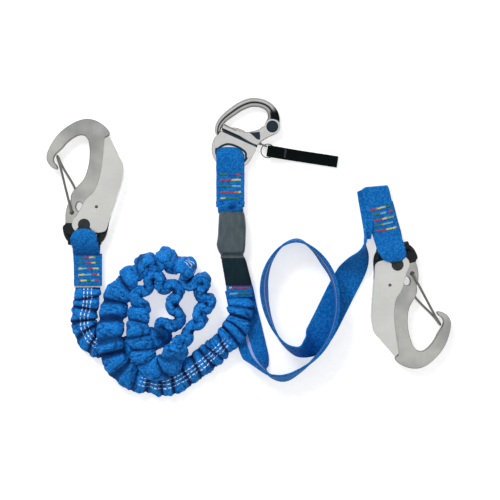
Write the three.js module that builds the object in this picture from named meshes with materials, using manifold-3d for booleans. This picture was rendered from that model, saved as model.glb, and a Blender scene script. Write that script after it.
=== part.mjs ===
import * as THREE from 'three';
import * as BufferGeometryUtils from 'three/addons/utils/BufferGeometryUtils.js';
import Module from 'manifold-3d';

// Double-leg shock absorbing lanyard, laid flat on a floor. Millimetres, +Z up.

// Webbing
const WEB_WIDTH = 30;
const WEB_THICK = 2.4;
const GAP = 0.3;
const FLOOR_GAP = 0.3;
const TACK_THICK = 0.7;
const TACK_ROW = 2.6;

// Hooks
const HOOK_MID_Z = 8;
const PLATE_HALF = 4;
const CHEEK_IN = 4.4;
const CHEEK_OUT = 6.5;
const RIVET_HEAD_R = 6.3;
const RIVET_R = 3;
const EYE_Y = -16.2;
const EYE_BAR_R = 5.2;
const INSERT_HALF = 5;
const WIRE_R = 1.3;
const WIRE_Z = 5.9;
const GATE_X = -13;
const GATE_Y = 12.7;
const STOP_X = 12.9;
const STOP_Y = 18.7;
const LEFT_HOOK = { x: -170.9, y: 10.2, turn: 0 };
const RIGHT_HOOK = { x: 156.8, y: -31.7, turn: -165.8 };

// Snap shackle, in its own frame: origin on the arm pivot, +X along the barrel
const SHACKLE = { x: 26.0, y: 113.2, turn: -24.3 };
const SHACKLE_MID_Z = 6.2;
const BODY_HALF = 3.6;
const ARM_HALF = 3.3;
const TONGUE_HALF = 1.4;
const BARREL_Y = -21.5;
const BARREL_R = 3.7;
const BARREL_X0 = -47;
const BARREL_X1 = -6;
const PLUNGER_R = 1.5;
const BAIL_X = -28.3;
const BAIL_Y = -38.2;
const BAIL_OUT = 22.5;
const BAIL_IN = 18;
const BAIL_HALF = 2.2;
const RING_R = 7.2;
const RING_WIRE = 0.55;
const RING_HALF = 1.1;
const TAB_X = 0;

// Pull strap
const STRAP_WIDTH = 12;
const STRAP_THICK = 1.3;
const STRAP_LENGTH = 75;

// Legs
const ELASTIC_WIDTH = 27;
const ELASTIC_THICK = 12;
const ELASTIC_STEPS = 66;
const FLAT_STEPS = 60;

const wasm = await Module();
wasm.setup();

const COLORS = {
  webbing: 0x0f63b8,
  webbingDark: 0x0c4f9c,
  plate: 0xa5a3a0,
  lever: 0xd8d9d3,
  plastic: 0x1f2a2b,
  steel: 0xb9bbba,
  polished: 0xc9cac8,
  strap: 0x111416,
  sleeveTop: 0x4c5659,
  sleeveLow: 0x1e2d30,
  thread: 0xc94b3c,
};

function material(color, roughness, metalness) {
  return new THREE.MeshStandardMaterial({ color, roughness, metalness });
}

function named(name, geometry, color, roughness, metalness) {
  const mesh = new THREE.Mesh(geometry, material(color, roughness, metalness));
  mesh.name = name;
  return mesh;
}

function toManifold(geometry) {
  const plain = geometry.clone();
  plain.deleteAttribute('normal');
  plain.deleteAttribute('uv');
  const merged = BufferGeometryUtils.mergeVertices(plain, 1e-4);
  const mesh = new wasm.Mesh({
    numProp: 3,
    vertProperties: new Float32Array(merged.attributes.position.array),
    triVerts: new Uint32Array(merged.index.array),
  });
  return new wasm.Manifold(mesh);
}

function toGeometry(solid) {
  const mesh = solid.getMesh();
  const geometry = new THREE.BufferGeometry();
  geometry.setAttribute('position', new THREE.BufferAttribute(new Float32Array(mesh.vertProperties), 3));
  geometry.setIndex(new THREE.BufferAttribute(new Uint32Array(mesh.triVerts), 1));
  geometry.computeVertexNormals();
  return geometry;
}

function shapeOf(points) {
  return new THREE.Shape(points.map(([x, y]) => new THREE.Vector2(x, y)));
}

// A closed smooth outline through hand-placed points.
function smoothShape(points, samples) {
  const curve = new THREE.SplineCurve(points.map(([x, y]) => new THREE.Vector2(x, y)));
  return new THREE.Shape(curve.getSpacedPoints(samples));
}

// A plate lying in XY between z0 and z1, with an optional softened edge.
function slab(shape, z0, z1, edge = 0, curveSegments = 14) {
  const geometry = new THREE.ExtrudeGeometry(shape, {
    depth: z1 - z0 - 2 * edge,
    bevelEnabled: edge > 0,
    bevelThickness: edge,
    bevelSize: edge,
    bevelOffset: -edge,
    bevelSegments: 1,
    curveSegments,
  });
  geometry.translate(0, 0, z0 + edge);
  return geometry;
}

// A profile drawn as (y, z) points and carried across x0 to x1.
function across(shape, x0, x1, curveSegments = 12) {
  const geometry = new THREE.ExtrudeGeometry(shape, { depth: x1 - x0, bevelEnabled: false, curveSegments });
  const turn = new THREE.Matrix4().makeBasis(
    new THREE.Vector3(0, 1, 0),
    new THREE.Vector3(0, 0, 1),
    new THREE.Vector3(1, 0, 0),
  );
  geometry.applyMatrix4(turn);
  geometry.translate(x0, 0, 0);
  return geometry;
}

function disc(x, y, radius, z0, z1, sides = 24) {
  const geometry = new THREE.CylinderGeometry(radius, radius, z1 - z0, sides);
  geometry.rotateX(Math.PI / 2);
  geometry.translate(x, y, (z0 + z1) / 2);
  return geometry;
}

function rodX(x0, x1, y, z, radius, sides = 20) {
  const geometry = new THREE.CylinderGeometry(radius, radius, x1 - x0, sides);
  geometry.rotateZ(Math.PI / 2);
  geometry.translate((x0 + x1) / 2, y, z);
  return geometry;
}

function block(x0, x1, y0, y1, z0, z1) {
  const geometry = new THREE.BoxGeometry(x1 - x0, y1 - y0, z1 - z0);
  geometry.translate((x0 + x1) / 2, (y0 + y1) / 2, (z0 + z1) / 2);
  return geometry;
}

function circlePath(x, y, radius) {
  const path = new THREE.Path();
  path.absarc(x, y, radius, 0, Math.PI * 2, true);
  return path;
}

function tube(points, radius, steps, sides, closed = false) {
  const curve = new THREE.CatmullRomCurve3(
    points.map(([x, y, z]) => new THREE.Vector3(x, y, z)),
    closed,
    'centripetal',
  );
  const ring = [];
  for (let i = 0; i < sides; i += 1) {
    const a = (i / sides) * Math.PI * 2;
    ring.push([Math.cos(a) * radius, Math.sin(a) * radius]);
  }
  return new THREE.ExtrudeGeometry(shapeOf(ring), { steps, bevelEnabled: false, extrudePath: curve });
}

function join(parts) {
  return parts.map(toManifold).reduce((whole, part) => whole.add(part));
}

function cut(whole, tools) {
  return tools.map(toManifold).reduce((rest, tool) => rest.subtract(tool), whole);
}

// ---------------------------------------------------------------- hook parts
// Hook frame: origin on the lever rivet, +Y toward the crown, z = 0 at mid plane.

const PLATE_OUTLINE = [
  [21.2, 90.4], [22.4, 91.6], [26, 94], [25.4, 98.3], [16.9, 106.7], [5.5, 110.9], [-4.7, 109.7],
  [-16.8, 103.7], [-27.1, 95.3], [-34.9, 84.4], [-39.2, 75], [-39.7, 68.7], [-36.8, 62.6],
  [-31.8, 58.6], [-28.4, 58.1], [-27.9, 59.6], [-28.9, 62.1], [-31.8, 65.6], [-32.4, 69.4],
  [-30.4, 73.4], [-24, 79.6], [-18, 86.2], [-10.8, 91.6], [-4.7, 94], [0.2, 93], [3.9, 88.6],
  [5.25, 81.7], [5.25, 69.1], [3, 57.2], [-1.2, 47], [-7.4, 40.2], [-11.6, 35.4], [-14, 30.4],
  [-14.6, 26], [-17.6, 21], [-19.4, 14], [-20, 8.6], [-19.8, 1], [18.6, 1], [20.2, 10],
  [20.8, 30], [22.6, 48], [23, 70],
];

function hookPlate() {
  const shape = shapeOf(PLATE_OUTLINE);
  shape.holes.push(circlePath(GATE_X, GATE_Y, WIRE_R + 0.35));
  const window = new THREE.Path();
  window.absellipse(-5.4, 18.6, 3.2, 4.2, 0, Math.PI * 2, true, 0.5);
  shape.holes.push(window);
  let solid = toManifold(slab(shape, -PLATE_HALF, PLATE_HALF, 0.9, 8));
  const ring = join([slab(eyeOutline(2.6), -2.2, 2.2)]);
  const eye = toManifold(block(-16.6, 16.6, EYE_Y + 3, -4.6, -5, 5));
  solid = solid.add(ring.subtract(eye));
  const slot = [];
  for (let i = 0; i <= 4; i += 1) {
    const a = THREE.MathUtils.degToRad(i * 3);
    const x = STOP_X * Math.cos(a) - STOP_Y * Math.sin(a);
    const y = STOP_X * Math.sin(a) + STOP_Y * Math.cos(a);
    slot.push(disc(x, y, 1.7, -6, 6, 10));
  }
  const bored = cut(solid, [disc(0, 0, RIVET_R + GAP, -6, 6), ...slot]);
  return toGeometry(bored);
}

// Outline of the plastic eye, shrunk by a margin.
function eyeOutline(margin) {
  const points = [
    [-20.6, 8], [-22.6, -1.2], [-22.2, -8], [-19.6, -14.8], [-13.6, -20.6], [0, -22.4],
    [13, -21.2], [18.4, -18.2], [22, -12.6], [24.4, -4], [25.2, 4], [22, 8],
  ];
  const moved = points.map(([x, y]) => [x - Math.sign(x) * margin, y < 0 ? y + margin : y - margin]);
  return shapeOf(moved);
}

// Plastic shell that wraps the metal eye and gives the webbing a round bar.
function eyeInsert() {
  const outer = slab(eyeOutline(0), -INSERT_HALF, INSERT_HALF, 1.6);
  const bar = rodX(-17.6, 17.6, EYE_Y, 0, EYE_BAR_R, 28);
  const opening = block(-16, 16, EYE_Y, -4, -9, 9);
  const rim = block(-16, 16, -40, EYE_Y, -9, 9);
  let solid = cut(join([outer]), [opening, rim]);
  solid = solid.add(toManifold(bar));
  const metal = join([slab(eyeOutline(2.6 - GAP), -2.2 - GAP, 2.2 + GAP)]);
  const metalEye = toManifold(block(-16.6 + GAP, 16.6 - GAP, EYE_Y + 3 + GAP, -4.6 - GAP, -7, 7));
  solid = solid.subtract(metal.subtract(metalEye));
  const plate = block(-24, 26, 0.6, 12, -9, 9);
  const cheeks = cut(
    toManifold(block(-14.5, 30, -12.4, 12, -9, 9)),
    [block(-15, 31, -13, 13, -CHEEK_IN + GAP, CHEEK_IN - GAP)],
  );
  const bore = disc(0, 0, RIVET_R + GAP, -6, 6);
  return toGeometry(cut(solid, [plate, bore]).subtract(cheeks));
}

const LEVER_OUTLINE = [
  [26.1, 92], [41.2, 62], [40.6, 50.7], [39.2, 43.9], [26.2, 4.8], [22.3, -6.2], [17.4, -8.3],
  [9, -8.4], [0, -8.6], [-6.6, -8], [-10.6, -5.4], [-12.7, -0.6], [-11.8, 4.8], [-7.9, 9.7],
  [-2.6, 19], [1.8, 26.6], [10.2, 35], [15, 46], [18.4, 63], [21.2, 90.2],
];

function lever() {
  const upper = slab(shapeOf(LEVER_OUTLINE), CHEEK_IN, CHEEK_OUT, 0.5);
  const lower = slab(shapeOf(LEVER_OUTLINE), -CHEEK_OUT, -CHEEK_IN, 0.5);
  const back = shapeOf([
    [35.4, 73.6], [41.2, 62], [40.6, 50.7], [39.2, 43.9], [27.4, 8.4],
    [25.6, 9], [37.4, 44.5], [38.7, 51], [39.3, 61.6], [33.6, 73.2],
  ]);
  const spine = slab(back, -CHEEK_OUT + 0.4, CHEEK_OUT - 0.4);
  const solid = join([upper, lower, spine]);
  const bores = [disc(0, 0, RIVET_R + GAP, -9, 9), disc(STOP_X, STOP_Y, 1.2 + 0.15, -9, 9, 20)];
  return toGeometry(cut(solid, bores));
}

function rivet() {
  const shank = disc(0, 0, RIVET_R, -7, 7, 20);
  const head = disc(0, 0, RIVET_HEAD_R, CHEEK_OUT + 0.2, 7.6, 26);
  const foot = disc(0, 0, RIVET_HEAD_R, -7.6, -CHEEK_OUT - 0.2, 26);
  return toGeometry(join([shank, head, foot]));
}

function stopPin() {
  const shank = disc(STOP_X, STOP_Y, 1.2, -6.8, 6.8, 12);
  const head = disc(STOP_X, STOP_Y, 1.8, CHEEK_OUT + 0.1, 6.9, 12);
  const foot = disc(STOP_X, STOP_Y, 1.8, -6.9, -CHEEK_OUT - 0.1, 12);
  return toGeometry(join([shank, head, foot]));
}

// One bent wire: both ends turn in to the same hole in the plate.
function gateWire() {
  const points = [
    [GATE_X, GATE_Y, 0.8], [GATE_X, GATE_Y, 4.4], [GATE_X - 0.2, GATE_Y + 1.1, WIRE_Z],
    [-18.6, 35, WIRE_Z], [-25.4, 62.6, WIRE_Z - 0.3], [-27.6, 69.4, WIRE_Z - 0.9],
    [-28.2, 71.6, 3.4], [-28.2, 71.9, 0], [-28.2, 71.4, -3.4], [-27, 67.8, -WIRE_Z + 0.9],
    [-24.2, 61.6, -WIRE_Z + 0.3], [-10.4, 36.6, -WIRE_Z], [-10.2, 28, -WIRE_Z],
    [-12.6, GATE_Y + 1.4, -WIRE_Z], [GATE_X, GATE_Y, -4.4], [GATE_X, GATE_Y, -0.8],
  ];
  return tube(points, WIRE_R, 44, 8);
}

// Side profile of webbing that wraps the eye bar and closes into a stack.
// Heights are from the floor: the loop is one closed ring with two layers behind it.
function tangentAngle(radius, y, z) {
  const dy = y - EYE_Y;
  const dz = z - HOOK_MID_Z;
  return Math.PI + Math.atan2(-dz, -dy) - Math.acos(radius / Math.hypot(dy, dz));
}

function eyeLoopProfile(stackEnd, layerTop) {
  const inner = EYE_BAR_R + GAP;
  const outer = inner + WEB_THICK;
  const outerEnd = tangentAngle(outer, -31, layerTop);
  const innerEnd = tangentAngle(inner, -27, 4.6);
  const shape = new THREE.Shape();
  shape.moveTo(stackEnd, FLOOR_GAP);
  shape.lineTo(EYE_Y, HOOK_MID_Z - outer + 0.01);
  shape.absarc(EYE_Y, HOOK_MID_Z, outer, -Math.PI / 2, outerEnd, false);
  shape.lineTo(-31, layerTop);
  shape.lineTo(stackEnd, layerTop);
  const hole = new THREE.Path();
  hole.moveTo(EYE_Y, HOOK_MID_Z - inner);
  hole.absarc(EYE_Y, HOOK_MID_Z, inner, -Math.PI / 2, innerEnd, false);
  hole.lineTo(-27, 4.6);
  hole.lineTo(-27, HOOK_MID_Z - inner + 0.4);
  shape.holes.push(hole);
  return shape;
}

// Rows of thread joined at alternate ends, laid on top of a panel.
function tackRows(rows, halfWidth, z0) {
  const parts = [];
  rows.forEach((y, i) => {
    parts.push(block(-halfWidth, halfWidth, y - TACK_ROW / 2, y + TACK_ROW / 2, z0, z0 + TACK_THICK));
    if (i > 0) {
      const side = i % 2 === 1 ? -1 : 1;
      const x0 = side < 0 ? -halfWidth : halfWidth - 1.2;
      const low = Math.min(y, rows[i - 1]);
      const high = Math.max(y, rows[i - 1]);
      parts.push(block(x0, x0 + 1.2, low, high, z0, z0 + TACK_THICK));
    }
  });
  return toGeometry(join(parts));
}

function hookGroup(side, place) {
  const group = new THREE.Group();
  group.name = `${side}_hook_group`;
  group.position.set(place.x, place.y, HOOK_MID_Z);
  group.rotation.z = THREE.MathUtils.degToRad(place.turn);
  group.add(named(`${side}_hook_plate`, hookPlate(), COLORS.plate, 0.4, 0.9));
  group.add(named(`${side}_eye_insert`, eyeInsert(), COLORS.plastic, 0.55, 0));
  group.add(named(`${side}_lock_lever`, lever(), COLORS.lever, 0.35, 0.8));
  group.add(named(`${side}_lever_rivet`, rivet(), COLORS.plastic, 0.5, 0.3));
  group.add(named(`${side}_lever_stop_pin`, stopPin(), COLORS.steel, 0.3, 1));
  group.add(named(`${side}_wire_gate`, gateWire(), COLORS.steel, 0.25, 1));
  return group;
}

// --------------------------------------------------- webbing at the two hooks

function leftEnd() {
  const group = new THREE.Group();
  group.name = 'left_end_group';
  group.position.set(LEFT_HOOK.x, LEFT_HOOK.y, 0);
  const stackTop = FLOOR_GAP + 2 * WEB_THICK;
  const loop = across(eyeLoopProfile(-64, stackTop), -14.9, 15.3);
  group.add(named('left_webbing_loop', loop, COLORS.webbing, 0.85, 0));
  const panelBase = stackTop + GAP;
  const panel = slab(shapeOf([[-11.8, -64.3], [19, -64.3], [19, -34], [-11.8, -34]]),
    panelBase, panelBase + WEB_THICK, 0.4);
  group.add(named('left_stitched_panel', panel, COLORS.webbing, 0.85, 0));
  const rows = tackRows([-37.5, -43, -48.5, -54, -59.2], 11, panelBase + WEB_THICK + 0.05);
  rows.translate(3.4, 0, 0);
  group.add(named('left_bar_tacks', rows, COLORS.thread, 0.6, 0));
  return group;
}

// The flat leg folds over at the far end of this panel and comes back to the eye.
function rightEnd() {
  const group = new THREE.Group();
  group.name = 'right_end_group';
  group.position.set(RIGHT_HOOK.x, RIGHT_HOOK.y, 0);
  group.rotation.z = THREE.MathUtils.degToRad(RIGHT_HOOK.turn);
  const top = FLOOR_GAP + 3 * WEB_THICK;
  const nose = new THREE.Shape();
  nose.moveTo(-82.9, FLOOR_GAP);
  nose.lineTo(-70, FLOOR_GAP);
  nose.lineTo(-70, top);
  nose.lineTo(-82.9, top);
  nose.absarc(-82.9, (FLOOR_GAP + top) / 2, (top - FLOOR_GAP) / 2, Math.PI / 2, Math.PI * 1.5, false);
  const loop = toManifold(across(eyeLoopProfile(-83, top), -15, 15.2));
  const fold = toManifold(across(nose, -15, 15.2));
  const flare = toManifold(slab(shapeOf([[10, -85.5], [16.6, -84], [21, -52], [10, -52]]),
    FLOOR_GAP, FLOOR_GAP + WEB_THICK));
  group.add(named('right_webbing_loop', toGeometry(loop.add(fold).add(flare)), COLORS.webbing, 0.85, 0));
  const rows = tackRows([-37.8, -43.8, -50, -56.2, -62.4], 10.5, top + 0.05);
  rows.translate(0.4, 0, 0);
  group.add(named('right_bar_tacks', rows, COLORS.thread, 0.6, 0));
  return group;
}

// ----------------------------------------------------------- shackle and pull

const BODY_NECK = [
  [-17, -17.4], [-12.5, -11.4], [-8.6, -5.4], [-6, -3.4], [5.2, -3.4], [5.7, -6.8], [2.4, -12],
  [-2.6, -15.6], [-5.6, -18.6], [-6, -24.4], [-17, -24.4],
];

function shackleBody() {
  const boss = disc(0, 0, 7.8, -BODY_HALF, BODY_HALF, 28);
  const neck = slab(shapeOf(BODY_NECK), -BODY_HALF, BODY_HALF, 0.8);
  const barrel = rodX(BARREL_X0, BARREL_X1, BARREL_Y, 0, BARREL_R, 22);
  const web = slab(shapeOf([
    [-44.4, -23.2], [-6.6, -23.2], [-6.1, -30], [-7.6, -36], [-47, -36], [-45.6, -30],
  ]), -BAIL_HALF, BAIL_HALF);
  const ring = disc(BAIL_X, BAIL_Y, BAIL_OUT, -BAIL_HALF, BAIL_HALF, 44);
  let solid = join([boss, neck, barrel, web, ring]);
  const openingDisc = toManifold(disc(BAIL_X, BAIL_Y, BAIL_IN, -9, 9, 40));
  const opening = openingDisc.subtract(toManifold(block(-60, 0, BAIL_Y + 4.3, 10, -12, 12)));
  solid = solid.subtract(opening);
  const grooves = [
    block(-43, -7, -26.3, -24.9, BAIL_HALF - 0.6, 6),
    block(-43, -7, -26.3, -24.9, -6, -BAIL_HALF + 0.6),
  ];
  const pocket = disc(0, 0, 8.8, -TONGUE_HALF - GAP, TONGUE_HALF + GAP, 24);
  const pivot = disc(0, 0, 3.3, -9, 9, 18);
  const bore = rodX(-60, 4, BARREL_Y, 0, PLUNGER_R + 0.35, 14);
  const chamber = rodX(-34, -9, BARREL_Y, 0, 2.9, 14);
  return toGeometry(cut(solid, [...grooves, pocket, pivot, bore, chamber]));
}

const ARM_OUTER = [
  [5.6, 7.6], [4.2, 11.6], [-0.6, 16], [-10.1, 21], [-20.5, 21.9], [-34.1, 15.6], [-45.2, 3.4],
  [-51.6, -10.9], [-53.6, -22], [-52.8, -26.2], [-50.8, -27.6], [-48.6, -26.4],
];
const ARM_INNER = [
  [-48, -17.2], [-45.8, -12.6], [-41.2, -4.9], [-33.7, 6.4], [-26.2, 11.8], [-17, 13.4],
  [-10.4, 11], [-7.4, 6.6],
];

function shackleArm() {
  const outline = [...ARM_OUTER, ...ARM_INNER, [-7.6, 0.6], [-2, -2.4], [4, 0.6], [7, 4]];
  const bar = slab(shapeOf(outline), -ARM_HALF, ARM_HALF, 1.2);
  const eye = disc(0, 0, 7.6, -TONGUE_HALF, TONGUE_HALF, 24);
  let solid = join([bar]);
  solid = cut(solid, [
    disc(0, 0, 8.9, TONGUE_HALF, 9, 24),
    disc(0, 0, 8.9, -9, -TONGUE_HALF, 24),
  ]);
  solid = solid.add(toManifold(eye));
  const notch = block(-51, -44, -40, BARREL_Y + 2.2, -2, 2);
  return toGeometry(cut(solid, [disc(0, 0, 3.3, -9, 9, 18), notch]));
}

function armRivet() {
  const shank = disc(0, 0, 3, -BODY_HALF - 0.4, BODY_HALF + 0.4, 18);
  const head = disc(0, 0, 5.8, BODY_HALF + 0.2, BODY_HALF + 2, 26);
  const foot = disc(0, 0, 5.8, -BODY_HALF - 2, -BODY_HALF - 0.2, 26);
  return toGeometry(join([shank, head, foot]));
}

function plunger() {
  const rod = rodX(-50.2, TAB_X - 2, BARREL_Y, 0, PLUNGER_R, 14);
  const collar = rodX(-33, -31, BARREL_Y, 0, 2.6, 14);
  const tab = new THREE.CylinderGeometry(3.5, 3.5, 1.6, 20);
  tab.translate(TAB_X, BARREL_Y, 0);
  const hole = new THREE.CylinderGeometry(1.9, 1.9, 6, 14);
  hole.translate(TAB_X, BARREL_Y, 0);
  return toGeometry(cut(join([rod, collar, tab]), [hole]));
}

// Return spring round the plunger, between its collar and the barrel end.
function plungerSpring() {
  const points = [];
  const turns = 7;
  for (let i = 0; i <= turns * 8; i += 1) {
    const a = (i / 8) * Math.PI * 2;
    points.push([-30.3 + (15.2 * i) / (turns * 8), BARREL_Y + Math.cos(a) * 2.3, Math.sin(a) * 2.3]);
  }
  return tube(points, 0.35, turns * 9, 5);
}

function ringCentre() {
  const a = THREE.MathUtils.degToRad(-30);
  return [TAB_X + Math.cos(a) * RING_R, BARREL_Y + Math.sin(a) * RING_R];
}

function splitRing() {
  const [x, y] = ringCentre();
  const shape = new THREE.Shape();
  shape.absarc(0, 0, RING_R + RING_WIRE, 0, Math.PI * 2, false);
  shape.holes.push(circlePath(0, 0, RING_R - RING_WIRE));
  const geometry = slab(shape, -RING_HALF, RING_HALF, 0.3, 18);
  geometry.translate(x, y, 0);
  return geometry;
}

function shackleGroup() {
  const group = new THREE.Group();
  group.name = 'shackle_group';
  group.position.set(SHACKLE.x, SHACKLE.y, SHACKLE_MID_Z);
  group.rotation.z = THREE.MathUtils.degToRad(SHACKLE.turn);
  group.add(named('shackle_body', shackleBody(), COLORS.polished, 0.15, 1));
  group.add(named('shackle_arm', shackleArm(), COLORS.polished, 0.15, 1));
  group.add(named('shackle_arm_rivet', armRivet(), COLORS.steel, 0.3, 1));
  group.add(named('shackle_plunger', plunger(), COLORS.steel, 0.25, 1));
  group.add(named('shackle_plunger_spring', plungerSpring(), COLORS.steel, 0.3, 1));
  group.add(named('release_split_ring', splitRing(), COLORS.steel, 0.25, 1));
  return group;
}

const STRAP = { x: 21.3, y: 86.8, turn: -8.7 };

// The pull strap folds round the ring; profile along its length, then its width.
function pullStrap() {
  const mid = SHACKLE_MID_Z;
  const half = 1.75;
  const shape = new THREE.Shape();
  shape.moveTo(2.4, mid + half + STRAP_THICK);
  shape.absarc(half + STRAP_THICK, mid, half + STRAP_THICK, Math.PI / 2, Math.PI * 1.5, false);
  shape.lineTo(9, mid - half - STRAP_THICK);
  shape.lineTo(24, FLOOR_GAP);
  shape.lineTo(STRAP_LENGTH, FLOOR_GAP);
  shape.lineTo(STRAP_LENGTH, FLOOR_GAP + 2 * STRAP_THICK);
  shape.lineTo(26, FLOOR_GAP + 2 * STRAP_THICK);
  shape.lineTo(10, mid + half + STRAP_THICK);
  const hole = new THREE.Path();
  hole.absarc(half + STRAP_THICK, mid, half, Math.PI / 2, Math.PI * 1.5, false);
  hole.lineTo(9.4, mid - half);
  hole.lineTo(11.4, mid - half);
  hole.lineTo(9.4, mid + half);
  shape.holes.push(hole);
  const geometry = new THREE.ExtrudeGeometry(shape, { depth: STRAP_WIDTH, bevelEnabled: false, curveSegments: 12 });
  geometry.rotateX(Math.PI / 2);
  geometry.translate(-0.6, STRAP_WIDTH / 2, 0);
  return geometry;
}

function strapGroup() {
  const group = new THREE.Group();
  group.name = 'strap_group';
  const [rx, ry] = ringCentre();
  const a = THREE.MathUtils.degToRad(SHACKLE.turn);
  group.position.set(
    SHACKLE.x + rx * Math.cos(a) - ry * Math.sin(a),
    SHACKLE.y + rx * Math.sin(a) + ry * Math.cos(a),
    0,
  );
  group.rotation.z = THREE.MathUtils.degToRad(STRAP.turn);
  group.add(named('release_pull_strap', pullStrap(), COLORS.strap, 0.8, 0));
  const tack = block(17.6, 19.4, -4.4, 4.4, 6.1, 6.1 + TACK_THICK);
  group.add(named('pull_strap_stitch', tack, COLORS.strap, 0.7, 0));
  return group;
}

// ----------------------------------------------- webbing between the shackle and legs

const LOOP_X = -18.2;
const LOOP_TOP = 90.4;
const LOOP_PLAN = [
  [-33, 26], [-3.4, 26], [-3.2, 66], [-3.6, 80], [-4.6, 84.8], [-8, 88], [-12.8, 91.4], [-17, 92],
  [-26, 89.6], [-31.2, 87], [-32.2, 80], [-33, 66],
];

function shackleLoop() {
  const mid = SHACKLE_MID_Z;
  const half = BAIL_HALF + 1.1;
  const outer = half + WEB_THICK;
  const profile = new THREE.Shape();
  profile.moveTo(29, FLOOR_GAP);
  profile.lineTo(LOOP_TOP - outer + 2, mid - outer);
  profile.absarc(LOOP_TOP - outer + 2, mid, outer, -Math.PI / 2, Math.PI / 2, false);
  profile.lineTo(72, mid + outer);
  profile.lineTo(63, FLOOR_GAP + 4 * WEB_THICK);
  profile.lineTo(29, FLOOR_GAP + 4 * WEB_THICK);
  const body = toManifold(across(profile, -40, 4, 24));
  const plan = toManifold(slab(shapeOf(LOOP_PLAN), -1, 20));
  const cavityProfile = new THREE.Shape();
  cavityProfile.moveTo(66.4, mid - half);
  cavityProfile.lineTo(95, mid - half);
  cavityProfile.lineTo(95, mid + half);
  cavityProfile.lineTo(66.6, mid + half);
  cavityProfile.lineTo(66, mid);
  const cavity = toManifold(across(cavityProfile, -45, 9));
  const cavityPlan = LOOP_PLAN.map(([x, y]) => [x < LOOP_X ? x - 6 : x + 6, y > 84 ? y - WEB_THICK : y]);
  const limit = toManifold(slab(shapeOf(cavityPlan), -1, 20));
  const neck = toManifold(block(-27, -6.6, 19.6, 30, 2.3, 9.4));
  return toGeometry(body.intersect(plan).subtract(cavity.intersect(limit)).add(neck));
}

function softBox(outline, z0, z1, edge) {
  return slab(smoothShape(outline, 48), z0, z1, edge, 4);
}

const PACK_OUTLINE = [
  [-29.4, 23.6], [-16, 24.2], [-3.2, 23.6], [-1.6, 12], [-1.8, -2], [-2.6, -14], [-4, -21.4],
  [-8, -22.6], [-18, -23.2], [-27.4, -22], [-31.6, -16], [-32.4, -9], [-31.2, 4], [-30.8, 14], [-29.4, 23.6],
];

function upperSleeve() {
  const shell = toManifold(softBox(PACK_OUTLINE, FLOOR_GAP, 16.4, 3));
  const tunnel = toManifold(block(-28.4, -5.2, -40, 40, 1.9, 14.8));
  return toGeometry(shell.subtract(tunnel));
}

function lowerSleeve() {
  const outline = [[-28, -24], [-1, -24], [4.6, -52.6], [-23.6, -53]];
  const shell = toManifold(slab(shapeOf(outline), FLOOR_GAP, 12.6, 2.2));
  const hollow = slab(shapeOf([[-25.4, -10], [-3.6, -10], [2.8, -60], [-21.8, -60]]), 1.7, 11.2);
  return toGeometry(shell.subtract(toManifold(hollow)));
}

// Tear webbing folded back and forth and stitched, inside the upper sleeve.
function tearPack() {
  const folds = 5;
  const pitch = 2.45;
  const z0 = 2.2;
  const parts = [];
  for (let i = 0; i < folds; i += 1) {
    const z = z0 + i * pitch;
    parts.push(block(-27.6, -6, -14.5, 19, z, z + 1.9));
    if (i < folds - 1) {
      const end = i % 2 === 0 ? [17, 19] : [-14.5, -12.5];
      parts.push(block(-27.6, -6, end[0], end[1], z + 1, z + pitch + 1));
    }
  }
  return toGeometry(join(parts));
}

// Webbing of both legs running up inside the sleeves to the tear pack.
function junctionWebbing() {
  const outline = [
    [-24, -15], [-6, -15], [-5.6, -22], [0.4, -50.2], [-20.8, -50.2], [-23.2, -26],
  ];
  return slab(shapeOf(outline), 3.4, 8.4);
}

function tailTab() {
  const outline = [[-20.6, -50.6], [1, -50.6], [1.3, -53.6], [4.6, -53.6], [6, -65], [-21.6, -66], [-22.9, -53.6],
    [-20.8, -53.6]];
  return slab(shapeOf(outline), 3.4, 8.4, 0.6);
}

function tailTacks() {
  const rows = tackRows([-56, -62], 11.4, 8.45);
  rows.translate(-8.4, 0, 0);
  return rows;
}

function trunkGroup() {
  const group = new THREE.Group();
  group.name = 'trunk_group';
  group.add(named('shackle_webbing_loop', shackleLoop(), COLORS.webbing, 0.85, 0));
  const rows = tackRows([63.2, 57, 50.8, 44.6, 38.4], 11, FLOOR_GAP + 4 * WEB_THICK + 0.05);
  rows.translate(-18, -1.6, 0);
  group.add(named('shackle_loop_bar_tacks', rows, COLORS.thread, 0.6, 0));
  group.add(named('upper_sleeve', upperSleeve(), COLORS.sleeveTop, 0.45, 0));
  group.add(named('lower_sleeve', lowerSleeve(), COLORS.sleeveLow, 0.6, 0));
  group.add(named('tear_webbing_pack', tearPack(), COLORS.webbingDark, 0.9, 0));
  group.add(named('junction_webbing', junctionWebbing(), COLORS.webbingDark, 0.9, 0));
  group.add(named('leg_junction_tab', tailTab(), COLORS.webbing, 0.85, 0));
  group.add(named('leg_junction_tacks', tailTacks(), COLORS.thread, 0.6, 0));
  return group;
}

// ------------------------------------------------------------------- the legs
// Route points are x, y, height of the underside above the floor, and roll in degrees
// (0 flat, 90 standing on edge).

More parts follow.
